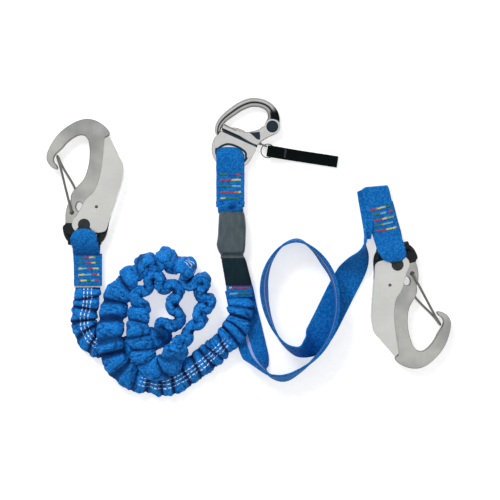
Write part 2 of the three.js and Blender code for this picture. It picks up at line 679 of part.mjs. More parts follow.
const ELASTIC_ROUTE = [
  [-8.4, -67, 3.4, 0], [-8, -81, 3.4, 0], [-10, -95, 3.4, 0], [-21, -111, 6.6, 0], [-37, -125, 0.6, 10],
  [-55, -140, 0.4, 5], [-70, -151, 0.4, 0], [-84, -157, 0.4, 0], [-101, -156, 0.4, 0],
  [-122, -149, 5, 0], [-138, -135, 12.8, 0], [-144, -117, 12.9, 0], [-143, -99, 11.8, 0],
  [-140, -80, 2, 0], [-136, -65, 0.4, 10], [-127, -49, 0.4, 30], [-114, -35, 0.4, 60],
  [-100, -28, 0.4, 64], [-87, -26, 0.4, 60], [-73, -31, 0.4, 45], [-61, -41, 0.4, 60],
  [-51, -52, 0.4, 85], [-44, -63, 0.4, 90], [-45, -75, 0.4, 90], [-49, -87, 0.4, 90],
  [-57, -97, 0.4, 90], [-64, -107, 1.4, 90], [-71, -117, 4, 80], [-77, -127, 9, 50],
  [-83, -135, 12.8, 15], [-93, -139, 12.9, 5], [-103, -135, 12.9, 0], [-110, -124, 12.9, 0],
  [-113, -111, 12.9, 0], [-114, -98, 12.6, 10], [-114, -85, 5, 30], [-113, -72, 0.6, 60],
  [-110, -59, 0.4, 85], [-104, -51, 0.4, 90], [-93, -48, 0.4, 90], [-83, -53, 0.4, 90],
  [-77, -63, 0.4, 90], [-73, -73, 0.4, 90], [-75, -84, 0.4, 90], [-80, -93, 0.4, 80],
  [-87, -102, 0.4, 50], [-97, -109, 0.4, 15],
];
const ELASTIC_TAIL = [
  [-109, -114.6, 0.4, 0], [-123, -118, 0.4, 0], [-140, -118.6, 0.4, 0], [-154, -116, 0.4, 0],
  [-164, -109, 0.4, 0], [-169.6, -99, 0.4, 0], [-171, -88, 0.4, 0], [-169, -78, 0.4, 0],
  [-167.6, -67, 0.4, 0], [-167.4, -54.7, 0.4, 0],
];

const FLAT_ROUTE = [
  [-9.2, -56.6, 0.8, 0], [-6.8, -68, 0.8, 0], [-4.4, -80, 0.8, 0], [-0.6, -95, 0.8, 0], [3.6, -112, 0.8, 6],
  [8.4, -127, 0.8, 26], [16, -140, 0.8, 82], [26, -148, 0.8, 100], [39, -150, 0.8, 108],
  [55, -142, 0.8, 100], [70, -129.6, 1.6, 92], [82.6, -113, 3.4, 88], [91, -92, 3.6, 86],
  [93.4, -69, 3.6, 86], [89.4, -46, 1.6, 84], [80, -29, 0.8, 80], [67.6, -14.6, 0.8, 88],
  [53, -6.4, 0.8, 96], [37.6, -11, 0.8, 90], [25, -25.6, 0.8, 84], [18.6, -42.6, 0.8, 78],
  [17.4, -60.4, 0.8, 75], [20.4, -80, 0.8, 80], [28, -100, 0.8, 88], [39, -115, 0.8, 95],
  [52, -121.6, 0.8, 110], [63, -118, 0.8, 135], [73, -108, 0.8, 166],
];
const FLAT_END = [
  [82, -93, 0.8, 178], [91, -75, 0.8, 180], [100, -57, 0.8, 180], [108, -42, 0.8, 170],
  [116, -27, 0.8, 138], [121.6, -14, 0.8, 98], [123.2, -3, 0.8, 90], [122.4, 12.4, 0.8, 90],
];

// Middle height of a band lying at a given roll with its underside at a given height.
function middle(lift, roll, wide, thick) {
  const a = THREE.MathUtils.degToRad(roll);
  return lift + (Math.abs(Math.sin(a)) * wide + Math.abs(Math.cos(a)) * thick) / 2;
}

function frames(route, steps, width, thick) {
  const curve = new THREE.CatmullRomCurve3(
    route.map(([x, y, lift, roll]) => new THREE.Vector3(x, y, middle(lift, roll, width, thick))),
    false,
    'centripetal',
  );
  curve.arcLengthDivisions = 800;
  const list = [];
  for (let i = 0; i <= steps; i += 1) {
    const u = i / steps;
    const t = curve.getUtoTmapping(u, 0);
    const centre = curve.getPoint(t);
    const along = curve.getTangent(t);
    const spot = t * (route.length - 1);
    const k = Math.min(Math.floor(spot), route.length - 2);
    const s = spot - k;
    const ease = s * s * (3 - 2 * s);
    const roll = THREE.MathUtils.degToRad(route[k][3] * (1 - ease) + route[k + 1][3] * ease);
    const right = new THREE.Vector3().crossVectors(along, new THREE.Vector3(0, 0, 1)).normalize();
    const up = new THREE.Vector3().crossVectors(right, along).normalize();
    const wide = right.clone().multiplyScalar(Math.cos(roll)).addScaledVector(up, Math.sin(roll));
    const thin = new THREE.Vector3().crossVectors(wide, along).normalize();
    list.push({ centre, wide, thin });
  }
  return list;
}

// Bends a straight unit body (length along Y) so that it follows the route.
function bend(geometry, route, steps, width, thick) {
  const list = frames(route, steps, width, thick);
  const position = geometry.attributes.position;
  for (let i = 0; i < position.count; i += 1) {
    const row = Math.round((position.getY(i) + 0.5) * steps);
    const { centre, wide, thin } = list[row];
    const point = centre.clone()
      .addScaledVector(wide, position.getX(i))
      .addScaledVector(thin, position.getZ(i));
    position.setXYZ(i, point.x, point.y, point.z);
  }
  geometry.computeVertexNormals();
  return geometry;
}

function elasticLeg() {
  const route = [...ELASTIC_ROUTE, ...ELASTIC_TAIL];
  const body = new THREE.CylinderGeometry(1, 1, 1, 10, ELASTIC_STEPS);
  const position = body.attributes.position;
  for (let i = 0; i < position.count; i += 1) {
    const x = position.getX(i);
    const z = position.getZ(i);
    position.setX(i, Math.sign(x) * Math.abs(x) ** 0.8 * (ELASTIC_WIDTH / 2));
    position.setZ(i, Math.sign(z) * Math.abs(z) ** 0.7 * (ELASTIC_THICK / 2));
  }
  return bend(body, route, ELASTIC_STEPS, ELASTIC_WIDTH, ELASTIC_THICK);
}

function flatLeg() {
  const route = [...FLAT_ROUTE, ...FLAT_END];
  const body = new THREE.BoxGeometry(WEB_WIDTH, 1, WEB_THICK, 1, FLAT_STEPS, 1);
  return bend(body, route, FLAT_STEPS, WEB_WIDTH, WEB_THICK);
}

function legGroup() {
  const group = new THREE.Group();
  group.name = 'leg_group';
  group.add(named('elastic_leg', elasticLeg(), COLORS.webbing, 0.85, 0));
  group.add(named('flat_leg', flatLeg(), COLORS.webbing, 0.85, 0));
  return group;
}

const root = new THREE.Group();
root.name = 'shock_absorbing_lanyard';
root.add(hookGroup('left', LEFT_HOOK));
root.add(hookGroup('right', RIGHT_HOOK));
root.add(leftEnd());
root.add(rightEnd());
root.add(shackleGroup());
root.add(strapGroup());
root.add(trunkGroup());
root.add(legGroup());

export default root;
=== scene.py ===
"""Looks of a double-leg shock absorbing lanyard laid flat on a pale floor. Shape numbers are millimetres."""

import math
import random

import bmesh
import bpy
import numpy as np
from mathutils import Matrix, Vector, noise
from mathutils.geometry import tessellate_polygon


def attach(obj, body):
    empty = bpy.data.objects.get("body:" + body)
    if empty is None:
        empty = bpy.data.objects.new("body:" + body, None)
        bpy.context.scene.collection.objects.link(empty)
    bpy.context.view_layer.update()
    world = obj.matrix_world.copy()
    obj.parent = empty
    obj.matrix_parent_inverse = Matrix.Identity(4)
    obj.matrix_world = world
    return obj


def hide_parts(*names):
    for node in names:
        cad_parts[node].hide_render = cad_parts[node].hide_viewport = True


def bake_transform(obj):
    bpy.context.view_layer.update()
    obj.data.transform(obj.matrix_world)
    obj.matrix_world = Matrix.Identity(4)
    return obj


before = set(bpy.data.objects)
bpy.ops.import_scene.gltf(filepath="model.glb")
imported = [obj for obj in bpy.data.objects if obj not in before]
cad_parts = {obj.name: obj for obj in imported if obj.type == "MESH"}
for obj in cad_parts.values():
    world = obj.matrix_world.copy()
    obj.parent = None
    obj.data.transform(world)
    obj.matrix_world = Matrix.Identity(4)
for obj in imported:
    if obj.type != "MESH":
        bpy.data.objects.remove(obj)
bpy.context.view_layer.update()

MM = 0.001
TAU = 2 * math.pi
HOOK_MID_Z = 8.0
SHACKLE_MID_Z = 6.2
LEFT_HOOK = (-170.9, 10.2, 0.0)
RIGHT_HOOK = (156.8, -31.7, -165.8)
SHACKLE = (26.0, 113.2, -24.3)
BARREL_Y = -21.5
EYE_Y = -16.2
WEB_HALF = 1.2
ELASTIC_WIDTH = 27.0
ELASTIC_THICK = 12.0
FLAT_WIDTH = 30.0
FLAT_THICK = 2.4
TRUNK = (0.0, 0.0, 0.0)
TRUNK_X = -18.1
RING_RADIUS = 7.2
RING_TURN = math.radians(-30)
RING_CENTRE = (RING_RADIUS * math.cos(RING_TURN), BARREL_Y + RING_RADIUS * math.sin(RING_TURN))
HOOK_WINDOW = (-5.4, 18.9)
GATE_PIN = (-13, 12.7)
STOP_PIN = (12.9, 18.7)
BAIL_CENTRE = (-28.3, -38.2)
BAIL_RADIUS = 22.5
BAIL_OPENING = 18
SLEEVE_WALL = 0.9
THREAD_RADIUS = 0.34
STITCH_PITCH = 1.3
STITCH_REACH = 1.05
FRAY_PITCH = 0.7
FLOOR_GAP = 0.3
FLOOR_HALF = 3
FLAT_ENOUGH = 0.9995
CAMERA_PLACE = (2.6 * MM, -16.3 * MM, 1.466)
FABRIC_SHARP = 80.0
ROUND_SHARP = 60.0
MOULDED_SHARP = 38.0


# ------------------------------------------------------------------ colours and camera


def rgb(r, g, b):
    """A display colour as the linear colour that the shader takes."""
    shares = (c / 255 for c in (r, g, b))
    return *(c / 12.92 if c <= 0.04045 else ((c + 0.055) / 1.055) ** 2.4 for c in shares), 1.0


def make_camera():
    data = bpy.data.cameras.new("camera")
    data.lens = 100
    data.sensor_width = 36
    data.dof.use_dof = False
    camera = bpy.data.objects.new("camera", data)
    camera.location = CAMERA_PLACE
    bpy.context.scene.collection.objects.link(camera)
    bpy.context.scene.camera = camera


make_camera()


# ------------------------------------------------------------------ curves


def catmull(points, per, closed=False):
    """A centripetal Catmull-Rom curve, per samples to each stretch, and the stretch number of each sample."""
    p = np.array(points, float)
    n = len(p)
    spans = n if closed else n - 1
    out, at = [], []
    for k in range(spans):
        p1, p2 = p[k], p[(k + 1) % n]
        p0 = p[k - 1] if closed or k > 0 else 2 * p1 - p2
        p3 = p[(k + 2) % n] if closed or k + 2 < n else 2 * p2 - p1
        d0, d1, d2 = (max(np.linalg.norm(step) ** 0.5, 1e-4) for step in (p1 - p0, p2 - p1, p3 - p2))
        m1 = ((p1 - p0) / d0 - (p2 - p0) / (d0 + d1) + (p2 - p1) / d1) * d1
        m2 = ((p2 - p1) / d1 - (p3 - p1) / (d1 + d2) + (p3 - p2) / d2) * d1
        last = per + 1 if (not closed and k == spans - 1) else per
        for i in range(last):
            s = i / per
            a = 2 * p1 - 2 * p2 + m1 + m2
            b = -3 * p1 + 3 * p2 - 2 * m1 - m2
            out.append(((a * s + b) * s + m1) * s + p1)
            at.append(k + s)
    return np.array(out), np.array(at)


def smooth_step(x, low, high):
    t = np.clip((x - low) / (high - low), 0, 1)
    return t * t * (3 - 2 * t)


def distances(points):
    """The distance along a line at each of its points."""
    return np.concatenate([[0], np.cumsum(np.linalg.norm(np.diff(points, axis=0), axis=1))])


def resample(points, step, *values):
    """The same line with even steps, its distances, and each value carried along it."""
    run = distances(points)
    count = max(2, int(round(run[-1] / step)) + 1)
    s = np.linspace(0, run[-1], count)
    line = np.stack([np.interp(s, run, points[:, k]) for k in range(points.shape[1])], axis=1)
    return line, s, [np.interp(s, run, v) for v in values]


def unit(v):
    return v / np.maximum(np.linalg.norm(v, axis=-1, keepdims=True), 1e-9)


def blunt(share, power):
    """A cosine or sine pushed outward, so that a round section turns into one with blunt corners."""
    return np.sign(share) * np.abs(share) ** power


def route_frames(route, width, thick, step):
    """Centres, distances, width, thickness and run directions and roll of a laid (x, y, lift, roll) band."""
    r = np.array(route, float)
    a = np.radians(r[:, 3])
    middle = r[:, 2] + (np.abs(np.sin(a)) * width + np.abs(np.cos(a)) * thick) / 2
    fine, at = catmull(np.column_stack([r[:, 0], r[:, 1], middle]), 24)
    roll = np.interp(at, np.arange(len(r)), r[:, 3])
    line, run, (roll,) = resample(fine, step, roll)
    reach = max(1, int(6.0 / step))
    padded = np.pad(roll, reach * 2, mode="edge")
    kernel = np.hanning(reach * 2 + 3)[1:-1]
    roll = np.convolve(padded, kernel / kernel.sum(), "same")[reach * 2 : -reach * 2]
    along = unit(np.gradient(line, axis=0))
    right = unit(np.cross(along, [0, 0, 1]))
    up = unit(np.cross(right, along))
    roll = np.radians(roll)[:, None]
    wide = right * np.cos(roll) + up * np.sin(roll)
    thin = unit(np.cross(wide, along))
    return line, run, wide, thin, along, roll[:, 0]


ELASTIC_ROUTE = [
    (-8.4, -67, 3.4, 0), (-8, -81, 3.4, 0), (-10, -95, 3.4, 0), (-21, -111, 6.6, 0), (-37, -125, 0.6, 10),
    (-55, -140, 0.4, 5), (-70, -151, 0.4, 0), (-84, -157, 0.4, 0), (-101, -156, 0.4, 0),
    (-122, -149, 5, 0), (-138, -135, 12.8, 0), (-144, -117, 12.9, 0), (-143, -99, 11.8, 0),
    (-140, -80, 2, 0), (-136, -65, 0.4, 10), (-127, -49, 0.4, 30), (-114, -35, 0.4, 60),
    (-100, -28, 0.4, 64), (-87, -26, 0.4, 60), (-73, -31, 0.4, 45), (-61, -41, 0.4, 60),
    (-51, -52, 0.4, 85), (-44, -63, 0.4, 90), (-45, -75, 0.4, 90), (-49, -87, 0.4, 90),
    (-57, -97, 0.4, 90), (-64, -107, 1.4, 90), (-71, -117, 4, 80), (-77, -127, 9, 50),
    (-83, -135, 12.8, 15), (-93, -139, 12.9, 5), (-103, -135, 12.9, 0), (-110, -124, 12.9, 0),
    (-113, -111, 12.9, 0), (-114, -98, 12.6, 10), (-114, -85, 5, 30), (-113, -72, 0.6, 60),
    (-110, -59, 0.4, 85), (-104, -51, 0.4, 90), (-93, -48, 0.4, 90), (-83, -53, 0.4, 90),
    (-77, -63, 0.4, 90), (-73, -73, 0.4, 90), (-75, -84, 0.4, 90), (-80, -93, 0.4, 80),
    (-87, -102, 0.4, 50), (-97, -109, 0.4, 15), (-109, -114.6, 0.4, 0), (-123, -118, 0.4, 0),
    (-140, -118.6, 0.4, 0), (-154, -116, 0.4, 0), (-164, -109, 0.4, 0), (-169.6, -99, 0.4, 0),
    (-171, -88, 0.4, 0), (-169, -78, 0.4, 0), (-167.6, -67, 0.4, 0), (-167.4, -54.7, 0.4, 0),
]

FLAT_ROUTE = [
    (-9.2, -56.6, 0.8, 0), (-6.8, -68, 0.8, 0), (-4.4, -80, 0.8, 0), (-0.6, -95, 0.8, 0), (3.6, -112, 0.8, 6),
    (8.4, -127, 0.8, 26), (16, -140, 0.8, 82), (26, -148, 0.8, 100), (39, -150, 0.8, 108),
    (55, -142, 0.8, 100), (70, -129.6, 1.6, 92), (82.6, -113, 3.4, 88), (91, -92, 3.6, 86),
    (93.4, -69, 3.6, 86), (89.4, -46, 1.6, 84), (80, -29, 0.8, 80), (67.6, -14.6, 0.8, 88),
    (53, -6.4, 0.8, 96), (37.6, -11, 0.8, 90), (25, -25.6, 0.8, 84), (18.6, -42.6, 0.8, 78),
    (17.4, -60.4, 0.8, 75), (20.4, -80, 0.8, 80), (28, -100, 0.8, 88), (39, -115, 0.8, 95),
    (52, -121.6, 0.8, 110), (63, -118, 0.8, 135), (73, -108, 0.8, 166), (82, -93, 0.8, 178),
    (91, -75, 0.8, 180), (100, -57, 0.8, 180), (108, -42, 0.8, 170), (116, -27, 0.8, 138),
    (121.6, -14, 0.8, 98), (123.8, -3, 0.8, 90), (124.2, 12.4, 0.8, 90),
]


# ------------------------------------------------------------------ shader helpers


class Shader:
    """A material under construction, with short calls for the nodes it uses."""

    def __init__(self, name, **sockets):
        self.material = bpy.data.materials.new(name)
        self.material.use_nodes = True
        self.tree = self.material.node_tree
        self.bsdf = next(n for n in self.tree.nodes if n.type == "BSDF_PRINCIPLED")
        for key, value in sockets.items():
            self.bsdf.inputs[key.replace("_", " ")].default_value = value

    def put(self, socket, value):
        if isinstance(value, bpy.types.NodeSocket):
            self.tree.links.new(value, socket)
        else:
            socket.default_value = value

    def node(self, kind, out=0, inputs=(), **settings):
        n = self.tree.nodes.new(kind)
        for key, value in settings.items():
            setattr(n, key, value)
        for key, value in dict(inputs).items():
            self.put(n.inputs[key], value)
        return n.outputs[out]

    def attribute(self, name):
        return self.node("ShaderNodeAttribute", out="Fac", attribute_name=name)

    def op(self, kind, a, b=0.0, c=0.0):
        return self.node("ShaderNodeMath", operation=kind, inputs={0: a, 1: b, 2: c})

    def times(self, a, b):
        return self.op("MULTIPLY", a, b)

    def plus(self, a, b):
        return self.op("ADD", a, b)

    def wave(self, value, pitch):
        turned = self.times(value, TAU / pitch)
        return self.op("MULTIPLY_ADD", self.op("SINE", turned), 0.5, 0.5)

    def ramp(self, value, low, high, to_low=0.0, to_high=1.0):
        return self.node(
            "ShaderNodeMapRange",
            interpolation_type="SMOOTHSTEP",
            inputs={0: value, 1: low, 2: high, 3: to_low, 4: to_high},
        )

    def mix(self, factor, a, b):
        n = self.tree.nodes.new("ShaderNodeMix")
        n.data_type = "RGBA"
        self.put(n.inputs[0], factor)
        self.put(n.inputs[6], a)
        self.put(n.inputs[7], b)
        return n.outputs[2]

    def vector(self, x, y, z=0.0):
        return self.node("ShaderNodeCombineXYZ", inputs={0: x, 1: y, 2: z})

    def place(self):
        return self.node("ShaderNodeTexCoord", out="Object")

    def stretched(self, scale):
        return self.node("ShaderNodeMapping", inputs={"Vector": self.place(), "Scale": scale})

    def noise(self, vector, scale, detail=3.0, rough=0.5):
        return self.node(
            "ShaderNodeTexNoise",
            inputs={"Vector": vector, "Scale": scale, "Detail": detail, "Roughness": rough},
        )

    def bump(self, height, distance, strength=1.0, normal=None):
        inputs = {"Height": height, "Distance": distance, "Strength": strength}
        if normal is not None:
            inputs["Normal"] = normal
        return self.node("ShaderNodeBump", inputs=inputs)

    def finish(self, color=None, roughness=None, normal=None):
        for key, value in (("Base Color", color), ("Roughness", roughness), ("Normal", normal)):
            if value is not None:
                self.put(self.bsdf.inputs[key], value)
        return self.material


def woven(name, light, dark, pitch=1.7, tracers=(), tracer_color=None, dash=0.0, bump=0.42, shine=0.01,
          gloss=0.12):
    """Woven band: ribs across the run, yarn streaks along it, painted shade in folds and coloured lines on
    one face.
    """
    s = Shader(name, Roughness=0.72, Sheen_Weight=shine, Sheen_Roughness=0.5, Specular_IOR_Level=gloss)
    along, across, side, fold = (s.attribute(key) for key in ("along", "across", "side", "fold"))
    rib = s.wave(along, pitch)
    twill = s.wave(s.plus(along, s.op("PINGPONG", across, 3.2)), pitch * 1.4)
    yarn = s.wave(across, 1.25)
    height = s.plus(s.times(rib, 0.45), s.plus(s.times(twill, 0.35), s.times(yarn, 0.2)))
    spot = s.vector(s.times(along, 0.25), s.times(across, 1.6), side)
    streak = s.noise(spot, 1.0, 4.0, 0.6)
    cloud = s.noise(s.place(), 55.0, 2.0)
    tone = s.plus(s.times(s.ramp(height, 0.2, 0.8), 0.55), s.times(s.ramp(streak, 0.3, 0.7), 0.45))
    mid = tuple(a * 0.5 + b * 0.5 for a, b in zip(light, dark))
    color = s.mix(tone, mid, light)
    color = s.mix(s.times(s.ramp(cloud, 0.35, 0.7), 0.26), color, mid)
    # Random lighter, more cyan speckle over the weave.
    light_speckle = s.ramp(s.noise(s.place(), 480.0, 3.0, 0.6), 0.42, 0.6)
    lift = 0.07 * max(light[:3])
    speckle_tint = (light[0] * 1.5 + lift, light[1] * 1.9 + lift, light[2] * 1.5 + lift, 1.0)
    color = s.mix(s.times(light_speckle, 0.36), color, speckle_tint)
    # Painted shade: the colour goes towards the dark tone where the mesh marks folds, creases, valleys and
    # shaded edges.
    color = s.mix(s.times(fold, 0.9), color, dark)
    if tracers:
        mask = 0.0
        for centre, half in tracers:
            away = s.op("ABSOLUTE", s.op("SUBTRACT", across, centre))
            mask = s.op("MAXIMUM", mask, s.ramp(away, half * 0.8, half * 1.15, 1.0, 0.0))
        shares = [s.ramp(side, 0.2, 0.6), s.attribute("traced")]
        if dash:
            shares.append(s.ramp(s.wave(along, dash), 0.16, 0.34))
        shares.append(s.ramp(s.noise(spot, 2.2, 2.0), 0.26, 0.42, 0.55, 1.0))
        # The painted shade dims the coloured lines too.
        shares.append(s.op("SUBTRACT", 1.0, s.times(fold, 0.75)))
        for share in shares:
            mask = s.times(mask, share)
        color = s.mix(mask, color, tracer_color)
    fuzz = s.noise(s.place(), 2600.0, 2.0)
    rough = s.ramp(height, 0.0, 1.0, 0.86, 0.66)
    return s.finish(color, rough, s.bump(s.plus(height, s.times(fuzz, 0.25)), bump * MM, 0.75))


def satin_metal(name, tint, edge, grain, rough, shaded=False):
    """Tumbled alloy: fine directional grain, faint patches and small scratches."""
    s = Shader(name, Metallic=1.0)
    grain_noise = s.noise(s.stretched(grain), 1.0, 5.0, 0.65)
    patch = s.noise(s.place(), 24.0, 3.0)
    scratch = s.ramp(s.noise(s.stretched((140.0, 2600.0, 140.0)), 1.0, 2.0), 0.68, 0.74)
    color = s.mix(s.ramp(patch, 0.3, 0.7), tint, edge)
    color = s.mix(s.times(scratch, 0.12), color, rgb(225, 225, 222))
    # Painted shade: darker where the mesh marks it, on the plate's sides and edges.
    if shaded:
        color = s.mix(s.attribute("fold"), color, rgb(76, 78, 76))
    roughness = s.ramp(grain_noise, 0.3, 0.7, rough[0], rough[1])
    height = s.plus(grain_noise, s.times(scratch, -0.3))
    return s.finish(color, roughness, s.bump(height, 0.02 * MM, 0.4))


def polished_metal(name, tint, rough=(0.07, 0.17), shaded=False):
    """Polished stainless with handling smudges and hairline marks."""
    s = Shader(name, Metallic=1.0)
    smudge = s.noise(s.place(), 120.0, 4.0, 0.6)
    hair = s.noise(s.stretched((3000.0, 120.0, 400.0)), 1.0, 3.0)
    color = s.mix(s.ramp(smudge, 0.35, 0.65), tint, (*(c * 0.93 for c in tint[:3]), 1.0))
    # Painted shade and painted dark reflection where the mesh marks them: the arm's middle line and edges,
    # the barrel's lower flank.
    if shaded:
        color = s.mix(s.attribute("fold"), color, rgb(24, 32, 33))
    roughness = s.ramp(smudge, 0.3, 0.7, rough[0], rough[1])
    return s.finish(color, roughness, s.bump(hair, 0.012 * MM, 0.4))


def moulded(name, tint, light, rough=(0.4, 0.56), wrinkle=0.0, coat=0.0, gloss=0.3):
    """Moulded or shrunk plastic: fine pebble, scuffs and optional soft wrinkles."""
    s = Shader(name, Specular_IOR_Level=gloss, Coat_Weight=coat, Coat_Roughness=0.25)
    pebble = s.noise(s.place(), 1500.0, 3.0)
    scuff = s.noise(s.stretched((260.0, 90.0, 260.0)), 1.0, 4.0, 0.6)
    color = s.mix(s.ramp(scuff, 0.35, 0.75), tint, light)
    roughness = s.ramp(scuff, 0.3, 0.7, rough[0], rough[1])
    normal = s.bump(pebble, 0.05 * MM, 0.5)
    if wrinkle:
        crease = s.noise(s.stretched((70.0, 150.0, 70.0)), 1.0, 3.0)
        normal = s.bump(crease, wrinkle * MM, 0.5, normal)
    return s.finish(color, roughness, normal)


THREAD_COLORS = {
    "red": rgb(198, 58, 66),
    "orange": rgb(236, 128, 52),
    "yellow": rgb(236, 226, 134),
    "green": rgb(52, 132, 84),
    "light": rgb(126, 200, 236),
    "lime": rgb(150, 190, 80),
    "blue": rgb(30, 95, 185),
}


def thread_material():
    """Twisted sewing thread whose colour comes from the hue stored along each row."""
    s = Shader("tack_thread", Roughness=0.55, Sheen_Weight=0.2)
    base = s.node("ShaderNodeAttribute", out="Color", attribute_name="hue")
    ply = s.wave(s.attribute("along"), 0.9)
    dark = s.mix(0.45, base, (0.01, 0.03, 0.08, 1.0))
    color = s.mix(s.ramp(ply, 0.1, 0.7), dark, base)
    return s.finish(color, s.ramp(ply, 0.0, 1.0, 0.7, 0.45), s.bump(ply, 0.12 * MM, 0.8))


BLUE = rgb(0, 101, 178)
# DEEP is the darker yarn tone of the blue webbing, and the colour of its painted shade.
DEEP = rgb(8, 30, 96)
MATERIALS = {
    "webbing": woven("blue_webbing", BLUE, DEEP),
    "leg": woven("blue_leg_webbing", BLUE, DEEP, tracers=((3.2, 1.5),), tracer_color=rgb(150, 165, 215)),
    "sewn": woven("sewn_tear_webbing", rgb(8, 72, 150), DEEP),
    "elastic": woven(
        "blue_elastic_sleeve",
        rgb(6, 116, 204),
        rgb(6, 18, 70),
        pitch=1.3,
        tracers=((-4.0, 0.5), (0.0, 0.5), (4.0, 0.5)),
        tracer_color=rgb(222, 234, 248),
        dash=4.6,
        bump=0.3,
    ),
    "strap": woven("black_tape", rgb(9, 15, 17), rgb(2, 3, 4), pitch=1.2, bump=0.3, gloss=0.05, shine=0.0),
    "plate": satin_metal(
        "satin_plate", rgb(219, 219, 214), rgb(176, 178, 176), (900.0, 60.0, 900.0), (0.4, 0.52), shaded=True
    ),
    "lever": satin_metal(
        "light_lever", rgb(248, 249, 245), rgb(238, 239, 235), (60.0, 900.0, 900.0), (0.45, 0.58)
    ),
    "plastic": moulded("black_moulding", rgb(14, 22, 24), rgb(26, 36, 38), gloss=0.25),
    "rivet": moulded("dark_rivet", rgb(30, 36, 37), rgb(48, 54, 55), (0.3, 0.45)),
    "steel": polished_metal("wire_steel", rgb(140, 139, 134), (0.16, 0.3)),
    "pin": polished_metal("dull_pin", rgb(112, 114, 112), (0.3, 0.45)),
    "polished": polished_metal("polished_steel", rgb(226, 226, 224), shaded=True),
    # Dark blued steel for the arm's rivet heads, and the same dark for the slabs of painted shadow on the
    # shackle.
    "blued_and_shadow": polished_metal("blued_rivet_and_shadow", rgb(52, 66, 78), (0.2, 0.34)),
    "sleeve_top": moulded("grey_shrunk_sleeve", rgb(62, 74, 80), rgb(76, 88, 93), (0.34, 0.46), 0.5, 0.06),
    "sleeve_low": moulded("black_sleeve", rgb(17, 35, 43), rgb(24, 43, 50), (0.55, 0.7), 0.3, gloss=0.1),
    "thread": thread_material(),
}


# ------------------------------------------------------------------ mesh helpers


def local_to_row(points, place, z):
    """Points of a flat-lying group, turned and moved into the row frame."""
    x, y, turn = place
    a = math.radians(turn)
    p = np.array(points, float)
    out = np.empty_like(p)
    out[..., 0] = x + p[..., 0] * math.cos(a) - p[..., 1] * math.sin(a)
    out[..., 1] = y + p[..., 0] * math.sin(a) + p[..., 1] * math.cos(a)
    out[..., 2] = z + p[..., 2]
    return out


def piece(mesh, name, body, material, replaces=()):
    """An object from a mesh. Its body is a name, or what follows() gives for a piece across a joint."""
    obj = bpy.data.objects.new(name, mesh)
    bpy.context.scene.collection.objects.link(obj)
    mesh.materials.append(MATERIALS[material])
    if isinstance(body, str):
        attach(obj, body)
    else:
        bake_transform(obj)
    if replaces:
        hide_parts(*replaces)
    return obj


def follows(body, place, start_y, end_y):
    """The webbing body, another body's name and the row-frame points at start_y and end_y in metres, for a
    stretch in the group's own frame.
    """
    ends = [tuple(np.array(local_to_row([(0, y, 0)], place, 0)[0]) * MM) for y in (start_y, end_y)]
    return ("webbing", body, *ends)


def mesh_of(name, points, faces, values=None, sharp=50.0, hues=None):
    """A closed mesh from millimetre points, with named values at its points and faces turned outward."""
    mesh = bpy.data.meshes.new(name)
    mesh.from_pydata((np.array(points, float) * MM).tolist(), [], faces)
    for key, numbers in (values or {}).items():
        layer = mesh.attributes.new(key, "FLOAT", "POINT")
        layer.data.foreach_set("value", np.ascontiguousarray(numbers, np.float32).ravel())
    if hues is not None:
        layer = mesh.attributes.new("hue", "FLOAT_COLOR", "POINT")
        layer.data.foreach_set("color", np.ascontiguousarray(hues, np.float32).ravel())
    work = bmesh.new()
    work.from_mesh(mesh)
    bmesh.ops.recalc_face_normals(work, faces=work.faces)
    work.to_mesh(mesh)
    work.free()
    mesh.polygons.foreach_set("use_smooth", [True] * len(mesh.polygons))
    mesh.set_sharp_from_angle(angle=math.radians(sharp))
    return mesh


def tube_faces(rings, around, first=0, capped=True):
    """Quads between neighbouring rings, and a face at each end."""
    faces = []
    for i in range(rings - 1):
        for j in range(around):
            a, b = first + i * around + j, first + i * around + (j + 1) % around
            faces.append((a, b, b + around, a + around))
    if capped:
        faces.append(tuple(range(first + around - 1, first - 1, -1)))
        last = first + (rings - 1) * around
        faces.append(tuple(range(last, last + around)))
    return faces


def joined(parts):
    """Several (points, faces) as one."""
    points, faces = [], []
    for p, f in parts:
        start = len(points)
        points.extend(np.array(p, float).reshape(-1, 3).tolist())
        faces.extend([tuple(i + start for i in face) for face in f])
    return points, faces


def band_section(half_t, columns):
    """Section of a band one unit to each side as (across, thin): two flat faces and two round edges."""
    bulge = half_t * 0.8
    x = np.linspace(-1, 1, columns) * (1.0 - bulge)
    top = [(v, half_t) for v in x]
    edge = [(x[-1] + bulge * math.sin(a), half_t * math.cos(a)) for a in np.linspace(0, math.pi, 7)[1:-1]]
    bottom = [(v, -half_t) for v in x[::-1]]
    other = [(-px, -pz) for px, pz in edge]
    return np.array(top + edge + bottom + other)


def swept(line, *moves):
    """Rings of points round a line. Each move is a direction for each ring, and how far its points go."""
    points = line[:, None, :]
    for direction, far in moves:
        points = points + direction[:, None, :] * far[..., None]
    return points


def band(name, line, run, wide, thin, half_w, half_t, shift=None, columns=15):
    """A band swept along a line. half_w may differ at each step; shift(u, x) gives extra (along, thin)."""
    n = len(line)
    half_w = np.broadcast_to(np.array(half_w, float), n)
    section = band_section(half_t / half_w.max(), columns)
    along = unit(np.gradient(line, axis=0))
    x = section[None, :, 0] * np.ones((n, 1))
    z = section[None, :, 1] * half_w.max() * np.ones((n, 1))
    forward, lift = shift(np.linspace(0, 1, n)[:, None], x) if shift else (0, 0)
    across = x * half_w[:, None]
    points = swept(line, (wide, across), (thin, z + lift), (along, forward * np.ones_like(x)))
    m = section.shape[0]
    zero = np.zeros((n, m))
    data = dict(along=np.repeat(run, m), across=across, side=z / half_t, fold=zero, traced=zero + 1)
    return mesh_of(name, points.reshape(-1, 3), tube_faces(n, m), data)


